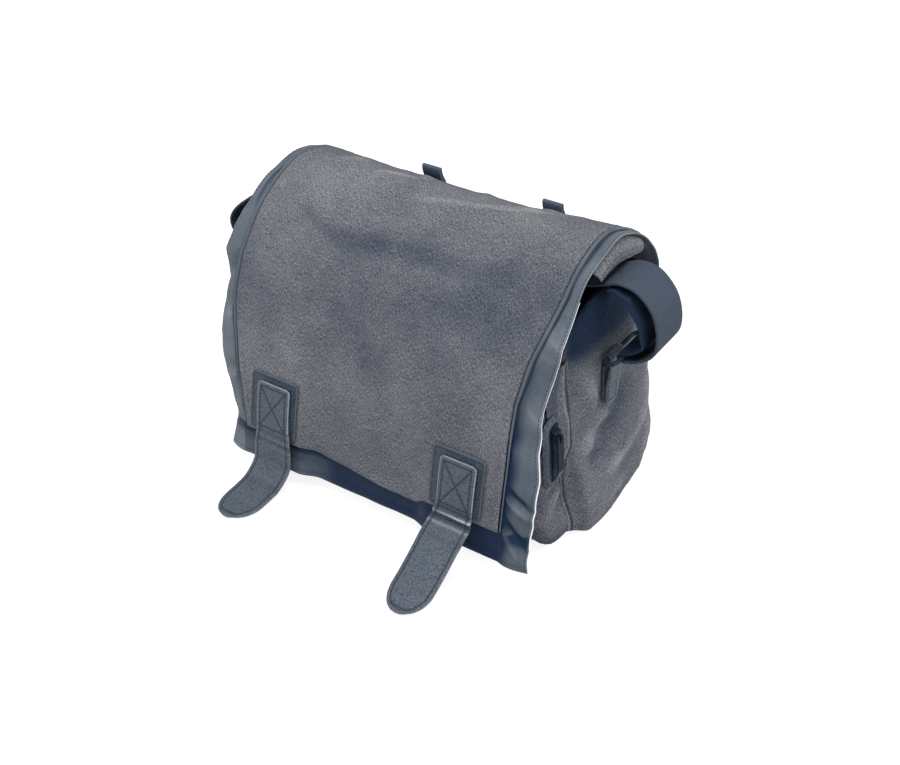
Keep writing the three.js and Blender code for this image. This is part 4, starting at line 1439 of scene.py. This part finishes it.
def beyond_canvas(u, x):
    """Distance out from the side edge of the canvas, below 0 on it."""
    return abs(x) - panel_edge(u, word_of(x))


def wing_share(u, x):
    """0 on the canvas, 1 at the edge of the wing."""
    return clamp(beyond_canvas(u, x) / wing_width(u, word_of(x)))


def along_edge(edge, word, start, end, off):
    """Spots along a side edge of the flap, off mm outside it."""

    def spot(share):
        u = mix(start, end, share)
        return u, SIDES[word] * (edge(u, word) + off)

    return spot


def hem_share(x):
    """Share of the flap's length at which the canvas ends."""
    depth, start, full, back, end = HEM_BOW
    return CANVAS_HEM + depth / FLAP_LENGTH * smoothstep(x, start, full) * fade(x, back, end)


def flap_point(u, x, lift):
    """A point of the flap at a share of its length, lift mm out of the canvas face."""
    u = clamp(u)
    y, z, run_y, run_z = flap_line(u)
    out = wing_share(u, x)
    droop = WING_DROOP * out**2 * graded(u, *WING_FALL)
    kick = out * graded(u, WING_KICK[word_of(x)])
    from_pads = min(x - TONGUE_X["left"], TONGUE_X["right"] - x)
    dip = graded(u, *FRONT_DIP) * smoothstep(from_pads, *FRONT_DIP_IN)
    crown = graded(x, CROWN) * smoothstep(u, *CROWN_FROM) * smoothstep(u, *CROWN_TO)
    rise = crown + kick - droop - dip + lift
    return Vector((x, y + run_z * rise, z - run_y * rise))


def flap_row(count, spot, lift):
    """A line on the flap of (point, face normal): spot gives its share and x, lift its height there."""

    def at(share):
        u, x = spot(share)
        _, _, run_y, run_z = flap_line(clamp(u))
        return flap_point(u, x, lift(u, x)), Vector((0, run_z, -run_y))

    return spaced(count, at)


def under_pad(u, x):
    """1 where a leather pad holds the flap flat, 0 away from it."""
    away = min(abs(x - middle) for middle in TONGUE_X.values()) - PAD_WIDTH / 2
    over = (PAD_START - u) * FLAP_LENGTH
    return smoothstep(away, *PAD_HOLDS) * smoothstep(over, *PAD_HOLDS_OVER)


def flap_relief(u, x):
    """Unevenness of the flap, shared by the canvas and the lining under it."""
    along = u * FLAP_LENGTH
    uneven = rumple("flap", x, along) + rumple("flap_fine", x, along) + fold_height(FLAP_FOLDS, x, along)
    return uneven * smoothstep(u, *FLAP_FREE) * (1 - under_pad(u, x))


def canvas_width(u):
    return panel_edge(u, "left") + panel_edge(u, "right")


def lining_width(u):
    return canvas_width(u) + wing_width(u, "left") + wing_width(u, "right")


def flat_size(width, end):
    """Flat width and length of a panel of the flap in metres, and its area in square metres."""
    steps = 200
    widest = max(spaced(101, width))
    total = sum(width(end * (i + 0.5) / steps) for i in range(steps))
    length = end * FLAP_LENGTH * MM
    return (widest * MM, length), total / steps * MM * length


def flap_map(spot):
    """Cloth map of a panel of the flap from the spot that gives its share of the length and x."""

    def measure(s, t):
        u, x = spot(s, t)
        return x, -u * FLAP_LENGTH

    return measure


def make_canvas():
    def spot(s, t):
        u = (1 - t) * CANVAS_HEM
        x = mix(-panel_edge(u, "left"), panel_edge(u, "right"), s)
        low = smoothstep(u, CANVAS_HEM - HEM_BOW_SHARE, CANVAS_HEM)
        return u + (hem_share(x) - CANVAS_HEM) * low, x

    def edge_of(u, x):
        return min(-beyond_canvas(u, x), (hem_share(x) - u) * FLAP_LENGTH)

    def place(s, t):
        u, x = spot(s, t)
        roll = graded(edge_of(u, x), *HEM_ROLL) * (1 - under_pad(u, x))
        return flap_point(u, x, flap_relief(u, x) + roll)

    def wear(s, t):
        u, x = spot(s, t)
        along = u * FLAP_LENGTH
        brim = graded(edge_of(u, x), BRIM_RUB[word_of(x)])
        crest = striped(along, *CREST_RUB) + fold_height(CREST_LINES, x, along)
        low = graded(u, FRONT_LIGHTENING) * smoothstep(x, *FRONT_LIGHTENING_X)
        return limited("flap", fold_wear_and_shading("flap", flap_relief(u, x)) + brim + crest + low)

    bm = laid("canvas", place, flap_map(spot), wear)
    obj = piece("flap_panel", bm, "canvas", ["flap_canvas"], wall=CANVAS - 0.2)
    size, area = flat_size(canvas_width, CANVAS_HEM)

    def thinner(share):
        return 1 + graded(share, PIPING_THINS)

    def sewn_level(u, x):
        return flap_relief(u, x) + PANEL_SEAM_RISE

    def corded_level(u, x):
        return flap_relief(u, x) - PIPING_SUNK

    back, low = BACK_SEAM_IN / FLAP_LENGTH, CANVAS_HEM - SIDE_SEAMS_SHORT
    rows = [flap_row(80, between((back, -BACK_SEAM_HALF), (back, BACK_SEAM_HALF)), sewn_level)]
    for word in SIDES:
        beside = along_edge(panel_edge, word, PIPING_FROM, low, PIPING + PIPING_OUT)
        points = [p for p, _ in flap_row(150, beside, corded_level)]
        bead(f"panel_piping_{word}", points, PIPING, "nylon", taper=thinner)
        inside = along_edge(panel_edge, word, PANEL_SEAM_FROM, low, -PANEL_SEAM_IN)
        rows.append(flap_row(200, inside, sewn_level))
    stitching("panel_stitches", rows, "panel", "grey_thread")


def wing_relief(u, x):
    """Ripples of the wings, free beyond the canvas."""
    along = u * FLAP_LENGTH
    ripple = rumple("wing", 0.5 * x, along) + fold_height(WING_FOLDS, x, along)
    return ripple * smoothstep(wing_share(u, x), *WING_FREE_OUT) * smoothstep(u, *WING_FREE)


def make_lining():
    def spot(s, t):
        u = read_rows(LINING_ROWS, 1 - t, 1)
        columns = (
            (0, -wing_edge(u, "left")),
            (WING_COLUMNS, WING_COLUMNS_IN - panel_edge(u, "left")),
            (1 - WING_COLUMNS, panel_edge(u, "right") - WING_COLUMNS_IN),
            (1, wing_edge(u, "right")),
        )
        return u, read_rows(columns, s, 1)

    def edge_of(u, x):
        return min(wing_edge(u, word_of(x)) - abs(x), (1 - u) * FLAP_LENGTH)

    def face(u, x):
        hem = graded(edge_of(u, x), LINING_HEM) * smoothstep(u, *LINING_HEM_FROM)
        full, end = (hem_share(x) + past for past in CANVAS_COVERS_PAST)
        covered = smoothstep(beyond_canvas(u, x), *CANVAS_COVERS) * fade(u, full, end)
        return flap_relief(u, x) * mix(BARE_RELIEF, 1, covered) + wing_relief(u, x) + hem * (1 - covered)

    def place(s, t):
        u, x = spot(s, t)
        return flap_point(u, x, face(u, x) - CANVAS - GAP)

    def wear(s, t):
        u, x = spot(s, t)
        out = beyond_canvas(u, x)
        below = (u - hem_share(x)) / (1 - hem_share(x))
        tucked = graded(x, HEM_SHADE) * smoothstep(x, *HEM_SHADE_TO)
        # Painted shade under the canvas hem and beside the canvas, and a dark line along its seam
        shades = [
            max(tucked, graded(below, HEM_SHADE_NEAR)) * smoothstep(below, *HEM_SHADE_FROM),
            graded(out, WING_SHADE[word_of(x)]) * smoothstep(u, *WING_SHADE_FROM),
            striped(out, *WING_GROOVE) * smoothstep(u, *WING_GROOVE_FROM),
        ]
        # Wear along the edge, painted light on the corner wedge and ripple crests, painted shade in ripple
        # hollows and at the right corner
        rub_and_painted_light = graded(edge_of(u, x), WING_RIM) + RIPPLE_SHADING * wing_relief(u, x)
        rub_and_painted_light += graded(below, CORNER_PAINTED_LIGHT) * smoothstep(x, *CORNER_PAINTED_LIGHT_X)
        rub_and_painted_light += fold_height(WING_LINES, x, u * FLAP_LENGTH) * smoothstep(out, *WING_LINES_OUT)
        rub_and_painted_light -= graded(u, CORNER_SHADE) * smoothstep(x, *CORNER_SHADE_X)
        if x < 0:
            tuck = bell(out, TUCK_START + graded(u, TUCK_OUT), TUCK_WIDTH)
            shades.append(tuck * graded(u, TUCK_SHADE) * smoothstep(u, *TUCK_TO))
            rub_and_painted_light += graded(out, LEFT_LIT)
        return limited("lining", rub_and_painted_light - max(shades))

    bm = laid("lining", place, flap_map(spot), wear)
    obj = piece("storm_lining", bm, "nylon", ["flap_lining"], wall=LINING - 0.1)
    size, area = flat_size(lining_width, 1)

    def sewn_level(u, x):
        return face(u, x) - CANVAS - GAP + LINING_SEAM_RISE

    def rolled_level(u, x):
        return face(u, x - ROLLED_EDGE_IN) - CANVAS - GAP - ROLLED_EDGE_SUNK

    def thicker(share):
        return ROLLED_EDGE_THIN + graded(share, ROLLED_EDGE_GROWS)

    rows = []
    for word in SIDES:
        inside = along_edge(wing_edge, word, *WING_SEAM_SPAN, -WING_SEAM_IN)
        rows.append(flap_row(220, inside, sewn_level))
    hem = 1 - LINING_SEAM_IN / FLAP_LENGTH
    rows.append(flap_row(160, between(*((hem, x) for x in LINING_SEAM)), sewn_level))
    stitching("lining_stitches", rows, "lining")
    # Pale rolled edge: partly a light raw edge, partly a painted highlight along the wing
    beside = along_edge(wing_edge, "right", *ROLLED_EDGE_SPAN, ROLLED_EDGE_OUT)
    points = [p for p, _ in flap_row(160, beside, rolled_level)]
    bead("wing_edge", points, ROLLED_EDGE, "pale_and_highlight", taper=thicker)


def make_pad(word):
    middle = TONGUE_X[word]

    def half(t):
        return rounded_half(PAD_WIDTH / 2, t * PAD_HEIGHT, PAD_HEIGHT, PAD_CORNER, PAD_CORNER)

    def spot(s, t):
        t = 1 - t
        return mix(PAD_START, PAD_END, t), middle + (2 * s - 1) * half(t), t

    def edge(x, t):
        return min(half(t) - abs(x - middle), t * PAD_HEIGHT, (1 - t) * PAD_HEIGHT)

    def place(s, t):
        u, x, t = spot(s, t)
        return flap_point(u, x, GAP + LEATHER - graded(edge(x, t), PAD_ROUND))

    def wear(s, t):
        _, x, t = spot(s, t)
        return graded(edge(x, t), PAD_RUB) - striped(edge(x, t), *PAD_GROOVE)

    bm = laid("pad", place, cut(PAD_WIDTH, PAD_HEIGHT), wear)
    piece(f"leather_pad_{word}", bm, "pad", [f"pad_{word}"], wall=LEATHER - 0.2)
    across, down = PAD_WIDTH / 2 - PAD_SEAM_IN, PAD_HEIGHT - PAD_SEAM_IN
    corners = []
    for x, along in ((-across, down), (-across, PAD_SEAM_IN), (across, PAD_SEAM_IN), (across, down)):
        corners.append((PAD_START + along / FLAP_LENGTH, middle + x))
    line = []
    for a, b in zip(corners, corners[1:]):
        line += flap_row(20, between(a, b), lambda u, x: GAP + LEATHER)
    stitching(f"pad_stitches_{word}", [line], "pad")


def make_tongue(word):
    middle = TONGUE_X[word]
    sewn_points = []
    for share in TONGUE_SEWN:
        u = mix(PAD_START + TONGUE_INSET_TOP / FLAP_LENGTH, PAD_END, share)
        p = flap_point(u, middle, 2 * GAP + LEATHER + TONGUE_LEATHER / 2)
        sewn_points.append((p.y, p.z))
    line = Line(sewn_points + list(TONGUE_FALL[word]))
    length = line.length
    creases = TONGUE_CREASES[word]

    def below(along):
        return smoothstep(along, HEAD_END, HEAD_FULL)

    def half(along, inset=0.0):
        side = mix(HEAD_WIDTH, TONGUE_WIDTH, below(along)) / 2 - inset
        corner = rounded_half(side, along - inset, length, max(0.5, TONGUE_CORNER - inset), 0)
        left = clamp((length - inset - along) / (TONGUE_TIP - inset))
        return corner * math.sqrt(max(0.0, 1 - (1 - left) ** 2))

    def level(along, across, lift):
        p = line.at(along)
        run = line.run(along, 0.8)
        out = Vector((run.y, -run.x))
        crease = sum(striped(along - CREASE_SLANT * across, *row) for row in creases)
        cup = TONGUE_CUP * (across / (TONGUE_WIDTH / 2)) ** 2 * smoothstep(along, *TONGUE_CUPPED)
        p = p + out * (lift + crease - cup)
        bow = TONGUE_BOW[word] * bell(along, *TONGUE_BOW_AT)
        drift = TONGUE_DRIFT[word] * (along / length) ** 2 + HEAD_SHIFT * (1 - below(along)) + bow
        return Vector((middle + drift + across, p.x, p.y))

    def normal(along):
        run = line.run(along, 0.8)
        return Vector((0, run.y, -run.x))

    def spot(s, t):
        share = 1 - t
        along = length * (1 - (1 - share) ** TONGUE_ROWS_CLOSE)
        return along, (2 * s - 1) * max(half(along), 0.3)

    def edge(along, across):
        return min(half(along) - abs(across), along, (length - along) * 0.7)

    def place(s, t):
        along, across = spot(s, t)
        rounded = graded(edge(along, across), TONGUE_ROUND)
        return level(along, across, TONGUE_LEATHER / 2 - rounded)

    def wear(s, t):
        along, across = spot(s, t)
        inside = edge(along, across)
        on_pad = smoothstep(along, *TONGUE_ON_PAD)
        rim = mix(*TONGUE_RIM, on_pad) * smoothstep(inside, *TONGUE_RIM_IN)
        # Crease ridges lighter, partly a painted highlight; crease valleys painted shade
        folds = 0.0
        for row in creases:
            folds += striped(along, *row) * (CREASE_WEAR_AND_HIGHLIGHT[word] if row[0] > 0 else CREASE_SHADE)
        sewn_line = abs(inside - SEAM_IN)
        if SEAM_IN < along < BOX_END + 1:
            tilt = (along - SEAM_IN) / (BOX_END - SEAM_IN) * 2 - 1
            crossing = abs(abs(across) - abs(tilt) * (HEAD_WIDTH / 2 - SEAM_IN)) * 0.7
            sewn_line = min(sewn_line, crossing, BOX_END - along)
        groove = striped(sewn_line, *TONGUE_GROOVE)
        return limited("tongue", rim + folds - groove - TONGUE_PAD_SHADE * on_pad)

    def measure(s, t):
        along, across = spot(s, t)
        return across, along

    bm = laid("tongue", place, measure, wear)
    wall = TONGUE_LEATHER - 0.7
    piece(f"leather_tongue_{word}", bm, "tongue", [f"tongue_{word}"], wall=wall)

    def sewn_row(count, spot):
        def at(share):
            along, across = spot(share)
            return level(along, across, TONGUE_LEATHER / 2 - 0.05), normal(along)

        return spaced(count, at)

    def beside(side):
        def spot(share):
            along = mix(SEAM_IN, length - SEAM_IN, 1 - (1 - share) ** TONGUE_SEAM_CLOSE)
            return along, side * half(along, SEAM_IN)

        return spot

    rows = [sewn_row(161, beside(-1)) + sewn_row(161, beside(1))[::-1]]
    box = HEAD_WIDTH / 2 - SEAM_IN
    upper = (SEAM_IN, -box), (SEAM_IN, box)
    lower = (BOX_END, -box), (BOX_END, box)
    # The box's ends and its cross
    for a, b in (upper, lower, (upper[0], lower[1]), (upper[1], lower[0])):
        rows.append(sewn_row(20, between(a, b)))
    stitching(f"tongue_stitches_{word}", rows, "tongue")


TAB_TURN = RING_WIRE + GAP + LEATHER / 2
STRAP_TURN = RING_WIRE + GAP + WEBBING / 2
LOWER_BAR = Vector((side_x(TAB_FOLD) + GAP + LEATHER / 2 + TAB_TURN, TAB_FOLD))
UPPER_BAR = LOWER_BAR + RING_REACH * Vector((math.cos(RING_RISE), math.sin(RING_RISE)))


def arc(centre, radius, start, end, steps):
    turns = spaced(steps + 1, lambda share: math.radians(mix(start, end, share)))
    return [Vector((centre.x + radius * math.cos(a), centre.y + radius * math.sin(a))) for a in turns]


def make_tab(word):
    side = SIDES[word]
    under = [Vector((side_x(z) + GAP + LEATHER / 2, z)) for z in TAB_LEVELS]
    over = []
    for z in TAB_LEVELS:
        spread = smoothstep(z, TAB_SPREAD, TAB_FOLD) * (2 * TAB_TURN - LEATHER - GAP)
        over.append(Vector((side_x(z) + 2 * GAP + LEATHER * 1.5 + spread, z)))
    line = Line(under + arc(LOWER_BAR, TAB_TURN, 180, 0, 12) + over[::-1], through=False)

    def half(along):
        return rounded_half(TAB_WIDTH / 2, along, line.length, TAB_END, TAB_END)

    def spot(s, t):
        along = line.length * (0.5 - 0.5 * math.cos(math.pi * t))
        return along, (2 * s - 1) * max(half(along), 0.4)

    def point(along, across, lift=0.0):
        """A point lift mm out of the middle of the leather, and the face's normal there."""
        run = line.run(along, 1.2)
        out = Vector((-run.y, run.x))
        out = out if out.x > 0 else -out
        p = line.at(along) + out * lift
        return Vector((side * p.x, tab_y(p.y) + across, p.y)), Vector((side * out.x, 0, out.y))

    def place(s, t):
        return point(*spot(s, t))[0]

    def wear(s, t):
        along, across = spot(s, t)
        edge = min(half(along) - abs(across), along, line.length - along)
        # Rubbed edges, and painted shade on the front
        return graded(edge, TAB_RUB) - graded(across, TAB_FRONT_SHADE)

    bm = laid("tab", place, cut(TAB_WIDTH, line.length), wear, flip=side > 0)
    nodes = [f"side_tab_{word}"]
    piece(f"leather_tab_{word}", bm, "tab", nodes, wall=LEATHER - 0.3, sunk=0.0, edge=0.3)
    inner, end = TAB_WIDTH / 2 - TAB_SEAM_IN, line.length - TAB_SEAM_IN

    def beside(share):
        along = mix(line.length - TAB_SEWN, line.length - 3, share)
        return along, max(0.0, rounded_half(inner, along, end, 1, TAB_END - TAB_SEAM_IN))

    flank = spaced(40, beside)
    row = [point(along, -across, LEATHER / 2) for along, across in flank]
    row += [point(along, across, LEATHER / 2) for along, across in flank[::-1]]
    stitching(f"tab_stitches_{word}", [row], "tab")


def make_ring(word):
    side = SIDES[word]
    half = RING_INNER / 2 + RING_WIRE
    r = RING_CORNER
    corners = (
        (half - r, r, -90),
        (half - r, RING_REACH - r, 0),
        (r - half, RING_REACH - r, 90),
        (r - half, r, 180),
    )
    points = []
    for across, out, start in corners:
        for p in arc(Vector((across, out)), r, start, start + 90, 8):
            x = LOWER_BAR.x + p.y * math.cos(RING_RISE)
            z = LOWER_BAR.y + p.y * math.sin(RING_RISE)
            points.append(Vector((side * x, RING_Y + p.x, z)))
    nodes = [f"ring_{word}"]
    bead(f"strap_ring_{word}", points, RING_WIRE - 0.05, "metal", closed=True, replaces=nodes)


def strap_half(word):
    """Points of one half of the strap: distance from the middle, how far forward it lies, z."""
    start = (UPPER_BAR.x, UPPER_BAR.y - STRAP_TURN)
    curve = Line((start, *STRAP_LOOP[word], *STRAP_CROSSING))
    back = []
    for i in range(STRAP_BACK_STEPS):
        along = mix(STRAP_BACK[-1][0], 3, i / (STRAP_BACK_STEPS - 1))
        place = along * STRAP_BACK_SHARE[word]
        run = curve.run(place, 1.0)
        apart, forward = (read_rows(STRAP_BACK, along, column, smooth=True) for column in (1, 2))
        p = curve.at(place) + Vector((-run.y, run.x)) * apart
        back.append(Vector((p.x, forward, p.y)))
    turn = arc(UPPER_BAR, STRAP_TURN, 90, 270, 16)[:-1]
    rest = turn + curve.spread(221)
    return back + [Vector((p.x, 0, p.y)) for p in rest]


def make_strap():
    right = strap_half("right")
    turned_back = sum((b - a).length for a, b in zip(right[:STRAP_BACK_STEPS], right[1:STRAP_BACK_STEPS]))
    left = [Vector((-p.x, p.y, p.z)) for p in strap_half("left")[:-1][::-1]]
    line = Line(right + left, through=False)

    def place(s, t):
        p = line.at(t * line.length)
        word = word_of(p.x)
        lean = STRAP_LEAN[word] * smoothstep(abs(p.x), UPPER_BAR.x + 4, STRAP_OUTERMOST)
        twist = rumple("strap", t * line.length, 0) * smoothstep(abs(p.x), *STRAP_FREE_X)
        return Vector((p.x, STRAP_Y + (s - 0.5) * STRAP_WIDTH - lean - p.y, p.z + twist * (2 * s - 1)))

    def wear(s, t):
        # Painted shade on the turned-back end
        dark = STRAP_SHADE * fade(t * line.length, turned_back, turned_back + STRAP_SHADE_END)
        return graded(t, STRAP_LIT) - dark

    bm = laid("strap", place, cut(STRAP_WIDTH, line.length, 0.5), wear)
    nodes = ["shoulder_strap"]
    piece("strap_webbing", bm, "webbing", nodes, wall=WEBBING - 0.1, sunk=0.0, edge=0.5)


def flap_share_over(y):
    low, high = 0.0, 0.6
    for _ in range(30):
        middle = (low + high) / 2
        if flap_line(middle)[0] > y:
            low = middle
        else:
            high = middle
    return low


def make_ear(word):
    side = SIDES[word]
    level = CANVAS + GAP + LINING + GAP + EAR_CLEAR
    rear, front = flap_share_over(EAR_BACK), flap_share_over(EAR_FRONT)

    def point(s, t, lift=0.0):
        u = mix(front, rear, t)
        end = 2 * t - 1
        drop = EAR_DROP * (1 - EAR_END_DROP * end**2)
        x = mix(EAR_TOP, EAR_BELLY, math.sin(s * math.pi * EAR_CURL))
        roll = graded(s, *EAR_ROLL)
        ripple = rumple("ear", t * EAR_RIPPLE[0], s * EAR_RIPPLE[1]) * s
        rise = lift + roll * EAR_ROLL_UP + ripple - level - drop * s**2
        return flap_point(u, side * (x + roll * EAR_ROLL_OUT), rise)

    def wear(s, t):
        # Painted lighter overall, and rubbed at the rolled end
        return EAR_TONE + graded(s, EAR_RUB)

    bm = laid("ear", point, cut(*EAR_CLOTH), wear, flip=side < 0)
    obj = piece(f"canvas_ear_{word}", bm, "canvas", [f"ear_{word}"], wall=1.5)
    outwards = Vector(EAR_FACING).normalized()
    outwards.x *= side

    def seam(s):
        def at(share):
            p = point(s, mix(*EAR_SEAM_SPAN, share), EAR_SEAM_RISE)
            return p + Vector((side * EAR_SEAM_RISE, 0, 0)), outwards

        return spaced(40, at)

    stitching(f"ear_stitches_{word}", [seam(s) for s in EAR_SEAMS], "ear")


def make_back_loop(word):
    turn = LOOP_THICK / 2 + GAP
    rise = Line(LOOP_RISE)
    inner = rise.spread(31)

    def across(share):
        run = rise.run(share * rise.length)
        return rise.at(share * rise.length) + Vector((run.y, -run.x)) * 2 * turn

    outer = spaced(31, across)
    crown = Vector((inner[-1].x + turn, inner[-1].y))
    line = Line(inner + arc(crown, turn, 180, 0, 10)[1:-1] + outer[::-1], through=False)

    def place(s, t):
        p = line.at(t * line.length)
        return Vector((LOOP_X[word] + (s - 0.5) * LOOP_WIDTH, p.x, p.y))

    bm = laid("loop", place, cut(LOOP_WIDTH, line.length, 0.5), flip=True)
    nodes = [f"back_loop_{word}"]
    piece(f"loop_webbing_{word}", bm, "loop", nodes, wall=LOOP_THICK - 0.1, sunk=0.0)


def make_studio():
    scene = bpy.context.scene
    scene.view_settings.view_transform = "Standard"
    bm = bmesh.new()
    bmesh.ops.create_grid(bm, x_segments=4, y_segments=4, size=FLOOR_HALF)
    bmesh.ops.translate(bm, verts=bm.verts[:], vec=(0, 0, -FLOOR_DROP))
    mesh = bpy.data.meshes.new("floor")
    bm.to_mesh(mesh)
    bm.free()
    floor = bpy.data.objects.new("floor", mesh)
    mesh.materials.append(studio_floor())
    scene.collection.objects.link(floor)

    world = bpy.data.worlds.new("studio")
    world.use_nodes = True
    sky = world.node_tree.nodes["Background"]
    sky.inputs["Color"].default_value = SKY_COLOUR
    sky.inputs["Strength"].default_value = SKY_STRENGTH
    scene.world = world
    for name, place, power, size, colour in SOFTBOXES:
        light = bpy.data.lights.new(name, "AREA")
        light.energy = power
        light.size = size
        light.color = colour
        lamp = bpy.data.objects.new(name, light)
        lamp.location = place
        aim = LIT_POINT - Vector(place)
        lamp.rotation_mode = "QUATERNION"
        lamp.rotation_quaternion = aim.to_track_quat("-Z", "Y")
        scene.collection.objects.link(lamp)


def make_camera():
    turn, tilt, roll = (math.radians(a) for a in CAMERA_ANGLES)
    back = Vector((math.sin(turn) * math.cos(tilt), -math.cos(turn) * math.cos(tilt), math.sin(tilt)))
    right = (-back).cross(Vector((0, 0, 1))).normalized()
    up = right.cross(-back)
    across = math.cos(roll) * right + math.sin(roll) * up
    upright = -math.sin(roll) * right + math.cos(roll) * up
    data = bpy.data.cameras.new("camera")
    data.sensor_width = CAMERA_SENSOR
    data.lens = CAMERA_LENS
    camera = bpy.data.objects.new("camera", data)
    stand = Matrix.Translation((CAMERA_TARGET + back * CAMERA_DISTANCE) * MM)
    camera.matrix_world = stand @ Matrix((across, upright, back)).transposed().to_4x4()
    bpy.context.scene.collection.objects.link(camera)
    bpy.context.scene.camera = camera


make_camera()
make_studio()
make_body()
make_pocket()
make_zip()
make_zip_lips()
make_lining()
make_canvas()
for word in SIDES:
    make_pad(word)
    make_tongue(word)
    make_tab(word)
    make_ring(word)
    make_ear(word)
    make_back_loop(word)
make_strap()
for name in ("zip_slider", "zip_pull"):
    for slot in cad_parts[name].material_slots:
        slot.material = FINISHES["pull"]
